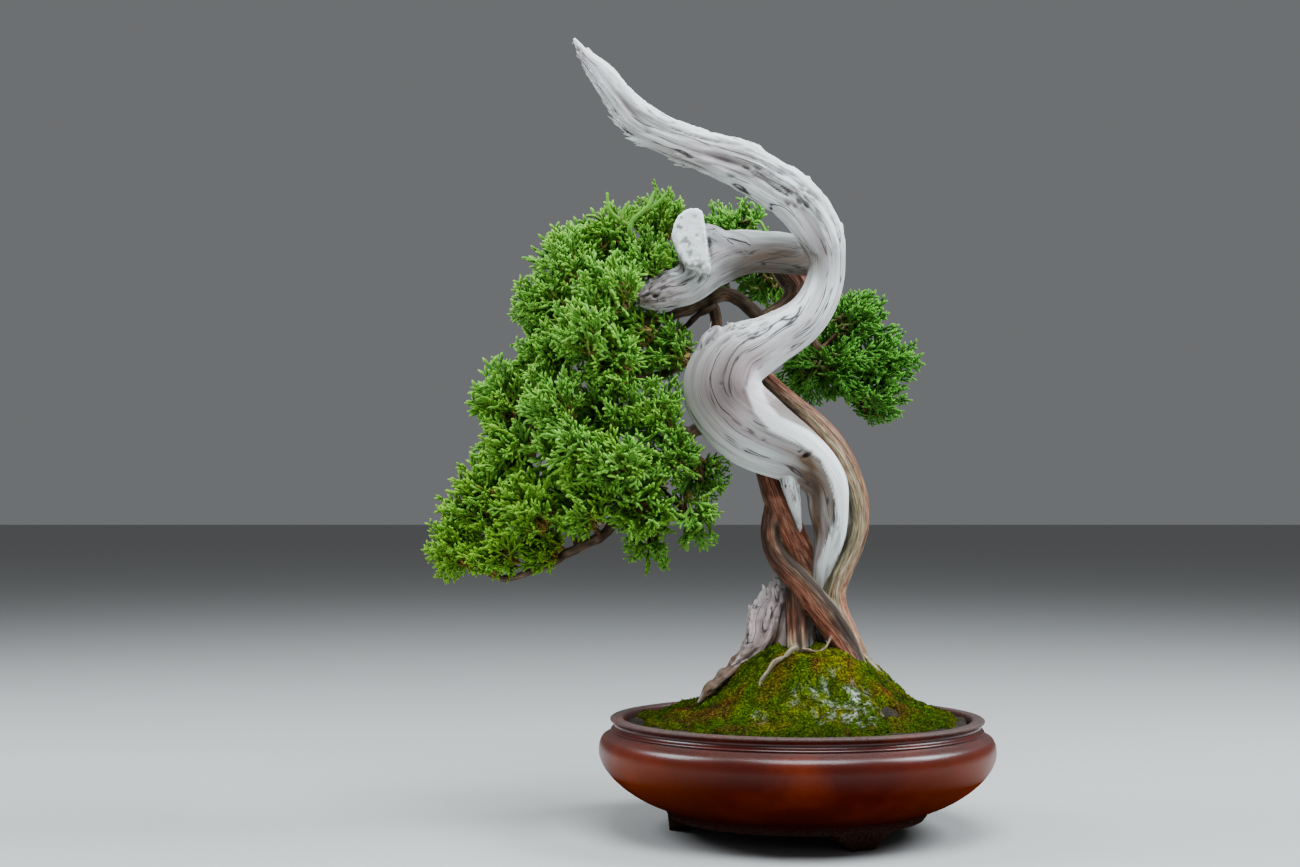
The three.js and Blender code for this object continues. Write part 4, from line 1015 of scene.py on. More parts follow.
def modelSpray(draw):
    length = leafTufts["sprayLength"]
    shoots = [(np.zeros(3), slanted(0, 0), length, leafTufts["stemRadius"], 0.2)]
    for number, (height, reach, turn, lean) in enumerate(leafTufts["sideShoots"]):
        turn += draw.uniform(-1, 1) * leafTufts["turnSpread"]
        lean += draw.uniform(-1, 1) * leafTufts["leanSpread"]
        reach *= draw.uniform(0.85, 1.2)
        start = np.array([0, 0, height])
        shoots.append((start, slanted(turn, lean), reach, leafTufts["shootRadius"], 0.45))
        if number < leafTufts["forked"]:
            fork = slanted(turn + draw.uniform(-1, 1) * leafTufts["forkSpread"], lean - leafTufts["forkLean"])
            shoots.append((start + slanted(turn, lean) * reach * 0.45, fork, reach * 0.5,
                           leafTufts["shootRadius"], 0.6))
    shapes, ages = [], []
    for start, direction, reach, radius, age in shoots:
        placed = placeShape(shootPoints, (radius, radius, reach), direction, start=start)
        shapes.append((placed, shootFaces))
        ages.append(age + (1 - age) * shootPoints[:, 2])
    return *joined(shapes), np.concatenate(ages)


woodTree = BVHTree.FromPolygons(*joined([
    (meshPoints(wood), [tuple(polygon.vertices) for polygon in wood.data.polygons])
    for wood in (silverDeadwood, barkVeins)]))


def insideOrNearWood(place, clearance):
    nearest, normal, _, apart = woodTree.find_nearest(Vector(place))
    return apart < clearance or (Vector(place) - nearest).dot(normal) < 0 and apart < 12


draw = random.Random(7)
sprayKinds = [modelSpray(draw) for _ in range(leafTufts["sprayKinds"])]
allTufts = [(name, number, np.array(tuft[:3], float), tuft[3])
            for name, (_, tufts) in branches.items() for number, tuft in enumerate(tufts, 1)]
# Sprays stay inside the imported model's box.
lowLimit = (np.array(cadLow) - np.array(potAxis)) * 1000 + leafTufts["boxMargin"]
highLimit = (np.array(cadHigh) - np.array(potAxis)) * 1000 - leafTufts["boxMargin"]
goldenAngle = 2.39996  # spreads fronds evenly all round a tuft
innerReach = 0.85  # of a tuft's radius, in which its fronds begin


# The directions of one tuft's fronds: all round it, fewer where a neighbouring tuft hides them.
def frondDirections(centre, neighbours, radius, count, draw):
    kept = []
    turn = draw.uniform(0, 6)
    tries = count * 2
    for step in range(tries):
        upright = 1 - 2 * (step + 0.5) / tries
        around = step * goldenAngle + turn
        flat = math.sqrt(1 - upright ** 2)
        direction = np.array([flat * math.cos(around), flat * math.sin(around), upright])
        tip = centre + direction * radius * innerReach
        hidden = any(np.linalg.norm(tip - other) < reach * 0.8 for other, reach in neighbours)
        kept.append((draw.random() + (0.6 if hidden else 0.0), step, direction))
    kept.sort(key=lambda row: row[:2])
    return [direction for _, _, direction in kept[:count]]


# Adds one shape, scaled and turned to a direction, to the list that a tuft is made from.
def addTurned(tuft, shape, start, direction, roll, scale, tone, bow=0.0):
    shapePoints, shapeFaces, shapeAges = shape
    placed = placeShape(shapePoints, scale, direction, roll, start)
    placed[:, 2] += bow * (shapePoints[:, 2] / shapePoints[:, 2].max()) ** 2
    tuft.append((placed, shapeFaces, shapeAges, np.full(len(placed), tone)))


def randomTurn(spread, draw):
    return np.array([draw.gauss(0, spread) for _ in range(3)])


# A spray ends inside the box and near its tuft, and goes past the tuft's edge only towards a neighbour.
def reachesTooFar(place, bounds):
    centre, radius, neighbours = bounds
    if (place < lowLimit + 1).any() or (place > highLimit - 1).any():
        return True
    away = np.linalg.norm(place - centre) / radius
    beside = any(np.linalg.norm(place - other) < reach * 1.02 for other, reach in neighbours)
    return away > leafTufts["besideReach" if beside else "tipReach"]


def addFrond(tuft, bounds, tip, heading, scale, tone, openness, draw):
    centre, radius, _ = bounds
    length = leafTufts["frondLength"] * scale
    base = tip - heading * (length + 0.75 * leafTufts["sprayLength"] * scale)
    fromCentre = np.linalg.norm(base - centre)
    if fromCentre > innerReach * radius:
        base = centre + (base - centre) * innerReach * radius / fromCentre
    bend = base + heading * length * 0.5 - (0, 0, 0.08 * length)
    end = base + heading * length + (0, 0, 0.06 * length)
    root = centre + (base - centre) * 0.2
    for start, stop, thick, age in ((root, base, 0.7, -0.2), (base, bend, 0.65, 0.0), (bend, end, 0.6, 0.15)):
        away = stop - start
        reach = np.linalg.norm(away)
        stem = (shootPoints, shootFaces, age + 0.2 * shootPoints[:, 2])
        addTurned(tuft, stem, start, away / reach, 0, (thick, thick, reach * 1.04), tone)
    side = unit(np.cross(heading, (0.31, 0.22, 0.92)))
    beside = np.cross(heading, side)
    phase = draw.uniform(0, 6.28)
    for number, (share, lean) in enumerate(leafTufts["sprays"]):
        lean = math.radians(lean + draw.uniform(-1, 1) * leafTufts["leanSpread"])
        turn = number * leafTufts["sprayTurn"] + phase
        out = math.cos(turn) * side + math.sin(turn) * beside
        direction = heading * math.cos(lean) + out * math.sin(lean) + (0, 0, 0.12)
        direction = unit(direction + randomTurn(leafTufts["sprayWander"], draw))
        start = base + (bend - base) * share * 2 if share < 0.5 else bend + (end - bend) * (2 * share - 1)
        size = scale * draw.uniform(*leafTufts["sprayScale"]) * (1 + 0.3 * (1 - openness))
        reach = leafTufts["sprayLength"] * size
        if reachesTooFar(start + direction * reach, bounds):
            size *= leafTufts["shortened"]
            reach *= leafTufts["shortened"]
        if reachesTooFar(start + direction * reach, bounds):
            continue
        if any(insideOrNearWood(start + direction * reach * part, leafTufts["fromWood"])
               for part in (0.4, 1.02)):
            continue
        spray = sprayKinds[draw.randrange(len(sprayKinds))]
        addTurned(tuft, spray, start, direction, draw.uniform(0, 6.28), size,
                  tone + draw.uniform(-0.15, 0.15), draw.uniform(0.0, 1.6))


def growTuft(name, number, centre, radius, draw):
    neighbours = [(other, reach) for _, _, other, reach in allTufts
                  if 0 < np.linalg.norm(other - centre) < radius + reach]
    route = routes[name]
    twigRoot = route[np.linalg.norm(route - centre, axis=1).argmin()]
    flow = unit(0.5 * unit(centre - twigRoot) + 0.8 * unit(centre - route[0]) + (0, 0, 0.35))
    openness = leafTufts["open"].get((name, number), 1.0)
    tuft = []
    count = round(leafTufts["fronds"] * openness)
    yellow = ramp(centre[2], 185, -45) * ramp(centre[0], -60, -60)
    # Painted shade: the tufts of the right branch and those at the back get a darker tone.
    shaded = 0.4 * (name == "right") + 0.25 * (centre[1] > 15)
    for direction in frondDirections(centre, neighbours, radius, count, draw):
        tip = centre + direction * radius * draw.uniform(0.88, 1.05)
        heading = 0.55 * direction + 0.8 * flow + randomTurn(leafTufts["frondWander"], draw)
        heading = unit(heading * (1, 0.7, 1))
        tone = 0.25 + 0.4 * draw.random() + 0.55 * yellow - shaded
        scale = radius / leafTufts["usualRadius"] * draw.uniform(*leafTufts["frondScale"])
        addFrond(tuft, (centre, radius, neighbours), tip, heading, scale, tone, openness, draw)
    points, faces = joined([part[:2] for part in tuft])
    points = np.clip(points, lowLimit, highLimit)
    ages, tones = (np.concatenate([part[kind] for part in tuft]) for kind in (2, 3))
    piece = newPiece(f"leafTuft_{name}_{number:02d}", points, faces)
    storeValues(piece, age=ages, tone=tones, outside=np.linalg.norm(points - centre, axis=1) / radius)
    return piece


# Juniper scale leaves: waxy cords, brownish on old shoots and yellow-green at young tips, with painted shade
# darkening them inside the tuft.
scaleLeaf = newMaterial("juniperScaleLeaf")
ageColour, toneColour, shadeInside = (
    addNode(scaleLeaf, "ValToRGB", {
        "Fac": addNode(scaleLeaf, "Attribute", attribute_name=name).outputs["Fac"]}, stops=stops)
    for name, stops in (
        ("age", [(0.0, "#8a6a48"), (0.2, "#84943f"), (0.5, "#699f3d"), (0.85, "#6ea63c"), (1.0, "#7db640")]),
        ("tone", [(0.0, "#86b09c"), (0.4, "#ffffff"), (1.0, "#ffec88")]),
        ("outside", [(0.2, "#a6ab8c"), (0.65, "#ffffff")])))
leaf = ageColour
for factor, colour in ((0.8, toneColour), (1.0, shadeInside)):
    leaf = addNode(scaleLeaf, "Mix", {"Factor": factor, "A": leaf, "B": colour},
                   data_type="RGBA", blend_type="MULTIPLY")
closeMaterial(scaleLeaf, {"Base Color": leaf, "Roughness": 0.6, "IOR": 1.45,
                          "Specular IOR Level": 0.06, "Subsurface Weight": 0.3, "Subsurface Scale": 0.0012,
                          "Subsurface Radius": (0.5, 1.0, 0.3)})

for name, number, centre, radius in allTufts:
    tuft = growTuft(name, number, centre, radius, draw)
    finishPiece(tuft, scaleLeaf, [f"foliage_{name}_{number:02d}"])

# Long curved shoots that stand up from the crown.
looseShoots = [
    [(-74, 2, 266, 2.4), (-75.8, -7, 271.5, 2.3), (-74.6, -8, 276.5, 2.2), (-69.6, -8, 281, 2.1),
     (-66.8, -8, 284, 1.9), (-64.6, -7, 290, 1.3)],
    [(-69.8, -8, 280.8, 2), (-63.4, -7, 284.6, 1.7), (-58.6, -6, 290, 1.2)],
    [(-75, -7, 274, 2), (-80.6, -8, 277.2, 1.8), (-85, -8, 282, 1.6), (-86, -7, 289.4, 1.2)],
    [(-79.6, -8, 276.6, 1.8), (-78.4, -8, 281.6, 1.6), (-75.8, -7, 285.4, 1.2)],
    [(-44, 20, 262, 2), (-50, 14, 270, 1.8), (-53.6, 12, 277, 1.6), (-52, 11, 284.5, 1.2)],
    [(-21, 40, 279, 1.8), (-15.6, 37, 283.4, 1.6), (-12.6, 36, 280.4, 1.4), (-10.6, 36, 273.6, 1)],
]
looseRuns = [runLimb(stations) for stations in looseShoots]
looseSides, oldAge, youngAge = 6, 0.3, 0.8
curvedShoots = newPiece("curvedShoots", *joined([loftLimb(run, looseSides) for run in looseRuns]))
shootAge = []
for run in looseRuns:
    age = oldAge + (youngAge - oldAge) * run["length"] / run["length"][-1]
    shootAge += [*np.repeat(age, looseSides), oldAge, youngAge]
storeValues(curvedShoots, age=shootAge, tone=np.full(len(shootAge), 0.3), outside=np.ones(len(shootAge)))
finishPiece(curvedShoots, scaleLeaf)


# Soil, mounded up round the roots, with its bare dark ring inside the lip.
soilMound = {
    "edgeHeight": 48, "rise": 35, "radius": 40, "shift": 4, "cushion": 1.1,
    "rings": 44, "sides": 96, "grit": 0.45, "sunk": 0.5, "outer": 76.6, "inner": 1.7, "clearance": 0.15,
    "buried": [(51.2, 15.0), (62.2, 18.0), (75.5, 27.5), (82.5, 36.5), (82.5, 40), (77.5, 45),
               (77.5, 47.3)],
}


def moundHeight(x, y):
    away = np.hypot(x - soilMound["shift"], y)
    large = np.sin(x / 6.1 + 0.8) * np.cos(y / 5.3 - 0.4)
    small = np.sin(x / 3.1 - y / 4.7) * np.sin(y / 2.9 + 1.3)
    swell = soilMound["cushion"] * (large + 0.45 * small)
    return soilMound["edgeHeight"] + soilMound["rise"] / (1 + (away / soilMound["radius"]) ** 4.2) + swell


sides = soilMound["sides"]
circle = np.linspace(0, 2 * math.pi, sides, endpoint=False)
soilRings = [np.column_stack([r * np.cos(circle), r * np.sin(circle), np.full(sides, z)])
             for r, z in soilMound["buried"]]
for radius in np.linspace(soilMound["outer"], soilMound["inner"], soilMound["rings"]):
    x, y = radius * np.cos(circle), radius * np.sin(circle)
    grit = soilMound["grit"] * smoothNoise(flatPlaces(x, y) / 1.7, 51)
    soilRings.append(np.column_stack([x, y, moundHeight(x, y) - soilMound["sunk"] + grit]))
soilEnds = [[0, 0, soilMound["buried"][0][1]], [0, 0, moundHeight(0, 0)]]
pottingSoil = newPiece("pottingSoil", np.vstack([*soilRings, *soilEnds]), ringFaces(len(soilRings), sides))
for wood in (silverDeadwood, barkVeins):
    cutBack(pottingSoil, wood, soilMound["clearance"])

# Akadama and lava grit, dark and damp: earthy brown grains with paler crumbs.
dampSoil = newMaterial("dampPottingGrit")
placeAt = addNode(dampSoil, "TexCoord").outputs["Object"]
crumbs = addNode(dampSoil, "TexVoronoi", {"Vector": placeAt, "Scale": 620.0})
clods = addNode(dampSoil, "TexNoise", {"Vector": placeAt, "Scale": 120.0, "Detail": 4.0})
soilColour = addNode(dampSoil, "ValToRGB", {"Fac": clods}, stops=[
    (0.35, "#120e08"), (0.55, "#261e12"), (0.72, "#453722")])
soilBump = addNode(dampSoil, "Bump", {"Height": crumbs, "Strength": 0.8, "Distance": 0.001})
closeMaterial(dampSoil, {"Base Color": soilColour, "Roughness": 0.9, "IOR": 1.5,
                         "Specular IOR Level": 0.25, "Normal": soilBump})
finishPiece(pottingSoil, dampSoil, ["soil"])
print("soil shaped", len(pottingSoil.data.polygons))

# Moss: a lumpy carpet over the mound, and small stars of leaves growing from it.
mossCarpet = {
    "edge": 71.0, "ragged": (3.0, 1.5), "edgeFade": 2.5, "hollowFade": 1.5,
    "spacing": 0.85, "thickness": 1.2, "underside": 1.8, "sunk": 0.9,
    "cushions": [(9.5, 2.2), (4.3, 1.3), (2.1, 0.7)],  # breadth and height of its lumps
    "stars": 4200, "starRadius": 0.9, "starSunk": 0.35,
    "starLeaves": [(0, 12, 1.15), (100, 52, 1.0), (215, 56, 0.95), (330, 48, 1.0)],  # turn, lean, size
    "lichen": [(15, -43, 10, 0.8), (26, -40, 8, 1.0), (-2, -43, 5, 0.5), (24, -51, 8, 0.95),
               (-19, -53, 4, 0.6), (8, -56, 5, 0.5)],
    "brown": [(-38, -32, 9, 0.95), (36, -27, 6, 1.0), (-14, -34, 6, 0.6), (-53, -13, 8, 0.9),
              (-47, -38, 6, 0.7), (-50, -28, 7, 0.8), (45, 14, 9, 0.7), (-30, 36, 9, 0.7),
              (-8, -24, 7, 0.7), (43, -34, 6, 0.9)],
    "hollow": [(38, -38, 4), (-57, -33, 2.5), (-44, -43, 2)],
}
reach = mossCarpet["edge"] + 4
steps = np.arange(-reach, reach + 0.01, mossCarpet["spacing"])
gridX, gridY = (g.ravel() for g in np.meshgrid(steps, steps, indexing="ij"))
gridPlaces = flatPlaces(gridX, gridY)
jitter = 0.3 * mossCarpet["spacing"]
gridX = gridX + jitter * smoothNoise(gridPlaces * 3.7, 41)
gridY = gridY + jitter * smoothNoise(gridPlaces * 3.7, 42)


def spotted(spots, x, y, noiseAt, seed):
    amount = np.zeros(len(x))
    for spotX, spotY, spotRadius, strength in spots:
        apart = np.hypot(x - spotX, y - spotY) / spotRadius + 0.5 * smoothNoise(noiseAt / 3.5, seed)
        amount = np.maximum(amount, strength * np.clip(1.6 - 1.3 * apart, 0, 1))
    return amount


# The moss's height, how well it covers a place and how deep the place lies between its cushions, which the
# colours darken as painted shade.
def mossTop(x, y):
    noiseAt = flatPlaces(x, y)
    coarse, fine = mossCarpet["ragged"]
    ragged = coarse * smoothNoise(noiseAt / 6, 43) + fine * smoothNoise(noiseAt / 2.2, 44)
    cover = (mossCarpet["edge"] - np.hypot(x, y) + ragged) / mossCarpet["edgeFade"]
    for hollowX, hollowY, hollowRadius in mossCarpet["hollow"]:
        fromHollow = np.hypot(x - hollowX, y - hollowY) - hollowRadius
        cover = np.minimum(cover, fromHollow / mossCarpet["hollowFade"])
    lumps, between = np.zeros(len(x)), np.zeros(len(x))
    for seed, (breadth, rise) in enumerate(mossCarpet["cushions"]):
        dome = np.abs(smoothNoise(noiseAt / breadth, 45 + seed))
        lumps += rise * dome
        between = np.maximum(between, (0.9 - 0.2 * seed) * np.clip(1 - 5 * dome, 0, 1))
    thickness = (mossCarpet["thickness"] + lumps) * np.sqrt(np.clip(cover, 0, 1))
    return moundHeight(x, y) - mossCarpet["sunk"] + thickness, cover, between


topHeight, cover, _ = mossTop(gridX, gridY)
count = len(steps)
index = np.arange(count * count).reshape(count, count)
quads = np.stack([index[:-1, :-1], index[1:, :-1], index[1:, 1:], index[:-1, 1:]], axis=-1).reshape(-1, 4)
quads = quads[(cover[quads] > 0).any(axis=1)]
used = np.unique(quads)
renumber = np.full(count * count, -1)
renumber[used] = np.arange(len(used))
x, y = gridX[used], gridY[used]
mossGround = newPiece("mossCarpet", np.column_stack([x, y, topHeight[used]]), renumber[quads].tolist())


def mossColours(piece, x, y):
    noiseAt = flatPlaces(x, y)
    yellow = 0.3 + 0.7 * smoothNoise(noiseAt / 10, 61) + 0.5 * smoothNoise(noiseAt / 2.6, 62)
    yellow += 0.2 * np.clip((10 - np.hypot(x - 6, y + 30)) / 20, -1, 1)
    rimShade = 0.5 * ramp(np.hypot(x, y), 46, 22)
    dry = 0.9 * np.clip(1.8 * smoothNoise(noiseAt / 5.5, 64) - 0.7, 0, 1)
    patches = np.clip(0.3 + 2.6 * smoothNoise(noiseAt / 2.0, 66) + 1.2 * smoothNoise(noiseAt / 0.9, 67), 0, 1)
    storeValues(piece, yellow=yellow, between=np.maximum(mossTop(x, y)[2], rimShade),
                brown=np.maximum(spotted(mossCarpet["brown"], x, y, noiseAt, 63), dry),
                lichen=patches * spotted(mossCarpet["lichen"], x, y, noiseAt, 65))


mossColours(mossGround, x, y)
useModifier(mossGround, "SOLIDIFY", thickness=mossCarpet["underside"], offset=-1)


# Cushion moss: matt green velvet of tiny leaves, yellow and orange-brown where it is dry, and grey-white
# crusts of lichen, with painted shade darkening it between the cushions and towards the rim.
mossGreen = newMaterial("cushionMossAndLichen")
placeAt = addNode(mossGreen, "TexCoord").outputs["Object"]
leaflets = addNode(mossGreen, "TexNoise", {
    "Vector": placeAt, "Scale": 900.0, "Detail": 3.0, "Roughness": 0.7})
moss, yellowLeaves, brownLeaves, lichenCrust = (
    addNode(mossGreen, "ValToRGB", {"Fac": leaflets}, stops=stops) for stops in (
        [(0.34, "#121a00"), (0.52, "#304600"), (0.68, "#5b7a0c")],
        [(0.34, "#201e00"), (0.52, "#525300"), (0.68, "#8a8408")],
        [(0.34, "#190e02"), (0.52, "#48300c"), (0.68, "#7e5c1c")],
        [(0.34, "#454a36"), (0.50, "#929b88"), (0.66, "#c6cdbf")]))
crustNoise = addNode(mossGreen, "TexNoise", {"Vector": placeAt, "Scale": 480.0, "Detail": 3.0})
crustBreaks = addNode(mossGreen, "MapRange", {
    "Value": crustNoise, "From Min": 0.42, "From Max": 0.54, "To Min": 0.1})
for name, colour in (("yellow", yellowLeaves), ("brown", brownLeaves), ("lichen", lichenCrust),
                     ("between", "#161708")):
    amount = addNode(mossGreen, "Attribute", attribute_name=name).outputs["Fac"]
    if name == "lichen":
        amount = addNode(mossGreen, "Math", {0: amount, 1: crustBreaks}, operation="MULTIPLY")
    moss = addNode(mossGreen, "Mix", {"Factor": amount, "A": moss, "B": colour}, data_type="RGBA")
mossBump = addNode(mossGreen, "Bump", {"Height": leaflets, "Strength": 0.9, "Distance": 0.0012})
closeMaterial(mossGreen, {"Base Color": moss, "Roughness": 0.88, "IOR": 1.45,
                          "Specular IOR Level": 0.03, "Normal": mossBump})
finishPiece(mossGround, mossGreen)


# One star of moss leaves: thin leaves that lean out from one point.
def modelStar():
    deselectAll()
    bpy.ops.mesh.primitive_cone_add(vertices=3, radius1=0.2, depth=1.0, location=(0, 0, 0.5))
    leaf = bpy.context.object
    points = meshPoints(leaf)
    points[:, 2] += 0.5
    faces = [tuple(p.vertices) for p in leaf.data.polygons]
    bpy.data.objects.remove(leaf)
    return joined([(placeShape(points, (1, 1, size), slanted(turn, lean), math.radians(turn)), faces)
                   for turn, lean, size in mossCarpet["starLeaves"]])


starPoints, starFaces = modelStar()
starPlaces = []
draw = random.Random(19)
while len(starPlaces) < mossCarpet["stars"]:
    distance, around = mossCarpet["edge"] * math.sqrt(draw.random()), draw.uniform(0, 2 * math.pi)
    starPlaces.append((distance * math.cos(around), distance * math.sin(around)))
starPlaces = np.array(starPlaces)
height, cover, _ = mossTop(starPlaces[:, 0], starPlaces[:, 1])
kept = [i for i in range(len(starPlaces)) if cover[i] > 0.3
        and not insideOrNearWood((*starPlaces[i], height[i] + 0.5), 0.6)]
stars = []
for i in kept:
    size = mossCarpet["starRadius"] * draw.uniform(0.8, 1.5)
    turned = np.array(Matrix.Rotation(draw.uniform(0, 6.28), 3, "Z"))
    place = (*starPlaces[i], height[i] - mossCarpet["starSunk"])
    stars.append((starPoints * size @ turned.T + place, starFaces))
mossStars = newPiece("mossLeaves", *joined(stars))
mossColours(mossStars, *np.repeat(starPlaces[kept], len(starPoints), axis=0).T)
finishPiece(mossStars, mossGreen, smooth=False)
print("moss grown", len(mossGround.data.polygons), len(mossStars.data.polygons))

finishPiece(silverDeadwood, silverWood, ["deadwood"])
finishPiece(tornSplinters, silverWood, smooth=False)
finishPiece(barkVeins, liveBark, ["live_wood"])
finishPiece(leafBranches, liveBark)


# Pot: a bowl turned on the wheel, with three cloud feet under its ring.
clayPot = {
    "steps": 120,
    "footAngles": (-64.5, 55.5, 175.5), "footLength": 32, "footSole": 12, "footInside": 49,
    "ringRadius": 59.2, "ringHeight": 7.2, "footSetBack": 1.6, "footBevel": 0.7, "sharpAngle": 38,
}


def bezierPoints(p0, p1, p2, p3, count):
    t = np.linspace(0, 1, count)[:, None]
    p0, p1, p2, p3 = (np.array(p, float) for p in (p0, p1, p2, p3))
    curve = (1 - t) ** 3 * p0 + 3 * (1 - t) ** 2 * t * p1 + 3 * (1 - t) * t ** 2 * p2 + t ** 3 * p3
    return curve[1:].tolist()


potOutline = [
    (12, 8.5), (52.2, 8.5), (53.2, 7.2), (58.0, 7.2), (59.2, 8.8), (58.6, 11.2),
    *bezierPoints((58.6, 11.2), (70.2, 13), (89.5, 25), (90, 37), 22),
    *bezierPoints((90, 37), (90, 40), (89.3, 42.4), (87.9, 43.6), 9),
    *bezierPoints((87.9, 43.6), (86.6, 44.4), (85.2, 44.9), (84.1, 45.9), 5),
    (84.4, 46.25), (84.5, 46.65), (84.2, 47.05), (83.6, 47.25),  # bead at the foot of the neck
    *bezierPoints((83.6, 47.25), (82.4, 48.2), (82.6, 49.5), (83.8, 50.1), 6),
    (84.5, 50.45), (84.8, 51.0), (84.7, 51.5), (84.2, 51.85), (83.4, 52), (80.0, 52), (79.1, 51.7),
    (78.6, 51), (78.6, 46), (83.6, 41), (83.6, 36), (77.6, 26), (64.2, 16.5), (53.2, 13.5), (12, 13.5)]
potCount = len(potOutline)
claySurface = newPiece("clayPot", [(r, 0, z) for r, z in potOutline], [])
claySurface.data.edges.add(potCount)
claySurface.data.edges.foreach_set("vertices", [i for k in range(potCount) for i in (k, (k + 1) % potCount)])
onWheel = {"steps": clayPot["steps"], "angle": 2 * math.pi, "center": (0, 0, 0), "axis": (0, 0, 1)}
editWhole(claySurface, (bpy.ops.mesh.spin, onWheel), (bpy.ops.mesh.remove_doubles, {"threshold": 0.01}))


def cloudFoot(degrees):
    half, sole, ring = clayPot["footLength"] / 2, clayPot["footSole"] / 2, clayPot["ringHeight"]
    lobe = (half - sole) / 3
    side = [(half, ring + 2.4), (half, ring)]
    for start, bend, end in [
        ((half, ring), (half - lobe, ring - 0.6), (half - lobe, ring - 2.4)),
        ((half - lobe, ring - 2.4), (half - 2 * lobe, ring - 3), (half - 2 * lobe, ring - 5)),
        ((half - 2 * lobe, ring - 5), (sole + 0.4 * lobe, ring - 5.2), (sole, 0)),
    ]:
        side += bezierPoints(start, bend, bend, end, 7)
    outline = side + [(-x, z) for x, z in reversed(side)]
    foot = newPiece("cloudFoot", [(clayPot["footInside"], x, z) for x, z in outline], [range(len(outline))])
    depth = clayPot["ringRadius"] - clayPot["footSetBack"] - clayPot["footInside"]
    editWhole(foot, (bpy.ops.mesh.extrude_region_move, {"TRANSFORM_OT_translate": {"value": (depth, 0, 0)}}))
    useModifier(foot, "BEVEL", width=clayPot["footBevel"], segments=2, limit_method="ANGLE",
                angle_limit=math.radians(50))
    foot.data.transform(Matrix.Rotation(math.radians(degrees), 4, "Z"))
    return foot


for degrees in clayPot["footAngles"]:
    foot = cloudFoot(degrees)
    useModifier(claySurface, "BOOLEAN", object=foot, operation="UNION", solver="MANIFOLD")
    bpy.data.objects.remove(foot)

points = meshPoints(claySurface)
heightUp, distance = points[:, 2], np.hypot(points[:, 0], points[:, 1])
onLip = ramp(heightUp, 50.6, 0.8) * ramp(distance, 78, 2)
onLedge = ramp(heightUp, 42.4, 1.4) * ramp(heightUp, 46.6, -0.8)
underneath = ramp(heightUp, 11.5, -2)
# Painted light: the belly's left and right sides, as seen from the front, are turned orange where the side
# lamps light them.
storeValues(claySurface, dust=np.maximum(np.maximum(0.8 * onLip, 0.25 * onLedge), 0.35 * underneath),
            shine=ramp(heightUp, 27, 15) ** 2,  # handled most on the shoulder
            fired=ramp(heightUp, 9, 22),  # darker towards the foot
            rust=0.4 * ramp(np.abs(points[:, 0]), 30, 45) * ramp(heightUp, 44, -10))

# Unglazed red stoneware, burnished and oiled: a satin mahogany skin with painted orange light on the belly's
# left and right sides and painted shade towards the foot, and grey-olive dust that has settled on the lip and
# the ledge under the neck.
redClay = newMaterial("burnishedRedStoneware")
placeAt = addNode(redClay, "TexCoord").outputs["Object"]
dustAt, firedAt, shineAt, rustAt = (
    addNode(redClay, "Attribute", attribute_name=name).outputs["Fac"]
    for name in ("dust", "fired", "shine", "rust"))
mottleNoise = addNode(redClay, "TexNoise", {"Vector": placeAt, "Scale": 22.0, "Detail": 4.0})
grit = addNode(redClay, "TexNoise", {"Vector": placeAt, "Scale": 900.0, "Detail": 2.0})
mottled = addNode(redClay, "ValToRGB", {"Fac": mottleNoise}, stops=[
    (0.32, "#2e0500"), (0.52, "#430a00"), (0.72, "#6a2000")])
settling = addNode(redClay, "MapRange", {"Value": grit, "From Min": 0.3, "From Max": 0.55})
settled = addNode(redClay, "Math", {0: dustAt, 1: settling}, operation="MULTIPLY")
rusty = addNode(redClay, "Mix", {"Factor": rustAt, "A": mottled, "B": "#8a3808"}, data_type="RGBA")
# Painted shade: the clay is darker towards the foot.
fired = addNode(redClay, "Mix", {"Factor": firedAt, "A": "#2e0b05", "B": rusty}, data_type="RGBA")
dusty = addNode(redClay, "Mix", {"Factor": settled, "A": fired, "B": "#4c4540"}, data_type="RGBA")
clayShine = addNode(redClay, "MapRange", {"Value": shineAt, "To Min": 0.0, "To Max": 0.5})
clayRough = addNode(redClay, "MapRange", {"Value": dustAt, "To Min": 0.3, "To Max": 0.6})
clayBump = addNode(redClay, "Bump", {"Height": grit, "Strength": 0.12, "Distance": 0.0004})
closeMaterial(redClay, {"Base Color": dusty, "Roughness": clayRough, "IOR": 1.5,
                        "Specular IOR Level": clayShine, "Normal": clayBump})
finishPiece(claySurface, redClay, ["pot"])
chooseOnly(claySurface)
bpy.ops.object.shade_smooth_by_angle(angle=math.radians(clayPot["sharpAngle"]))
print("pot turned", len(claySurface.data.polygons))


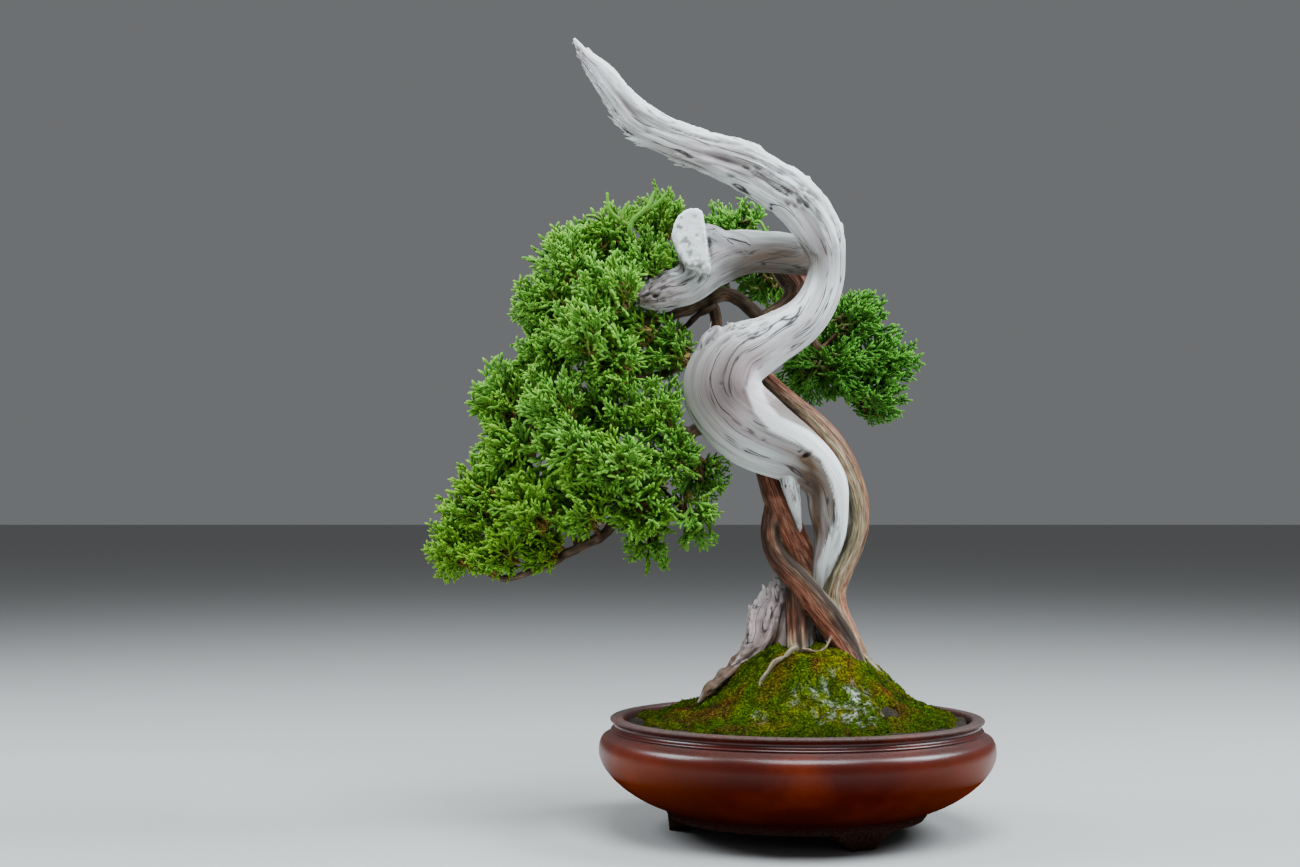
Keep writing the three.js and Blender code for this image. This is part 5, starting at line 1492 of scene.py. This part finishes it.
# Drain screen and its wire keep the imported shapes: moulded black polyethylene, lightly scuffed, and soft
# aluminium wire with fine draw lines.
for node, name, scale, detail, colours, look in (
        ("drain_screen", "mouldedBlackPolyethylene", 300.0, 3.0, ("#101113", "#24262a"),
         {"Roughness": 0.45, "IOR": 1.5}),
        ("screen_wire", "drawnAluminiumWire", 800.0, 2.0, ("#a7a9ac", "#d0d2d4"),
         {"Metallic": 1.0, "Roughness": 0.38})):
    material = newMaterial(name)
    placeAt = addNode(material, "TexCoord").outputs["Object"]
    marks = addNode(material, "TexNoise", {"Vector": placeAt, "Scale": scale, "Detail": detail})
    markColour = addNode(material, "ValToRGB", {"Fac": marks}, stops=zip((0.3, 0.7), colours))
    closeMaterial(material, {"Base Color": markColour, **look})
    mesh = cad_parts[node].data
    mesh.materials.clear()
    mesh.materials.append(material)


# Floor, world and lights: pale and soft.
deselectAll()
bpy.ops.mesh.primitive_plane_add(size=40)
floor = bpy.context.object
floor.name = "paleFloor"
paleFloor = newMaterial("palePaintedFloor")
closeMaterial(paleFloor, {"Base Color": "#b0b0ae", "Roughness": 0.85})
floor.data.materials.append(paleFloor)

world = bpy.data.worlds.new("studioWorld")
bpy.context.scene.world = world
world.use_nodes = True
world.node_tree.nodes["Background"].inputs["Color"].default_value = linearColour("#e4e8ec")
world.node_tree.nodes["Background"].inputs["Strength"].default_value = 0.2

# Each lamp: where it stands and what it points at, in metres, its breadth, its power and its colour.
softboxes = {
    "softboxAbove": ((0.1, -0.5, 1.2), (0, 0, 0.15), 0.8, 29, "#eef8ff"),
    "softboxLeft": ((-0.87, 0.02, 0.83), (0, 0, 0.1), 0.5, 14, "#f0f8ff"),
    "softboxRight": ((0.9, 0.0, 0.85), (0, 0, 0.1), 0.5, 21, "#eef8ff"),
}
for name, (place, target, size, power, colour) in softboxes.items():
    lampData = bpy.data.lights.new(name, "AREA")
    lampData.shape = "SQUARE"
    lampData.size = size
    lampData.energy = power
    lampData.color = linearColour(colour)[:3]
    lamp = bpy.data.objects.new(name, lampData)
    lamp.location = place
    lamp.rotation_euler = (Vector(target) - Vector(place)).to_track_quat("-Z", "Y").to_euler()
    bpy.context.scene.collection.objects.link(lamp)
print("floor and lights set")
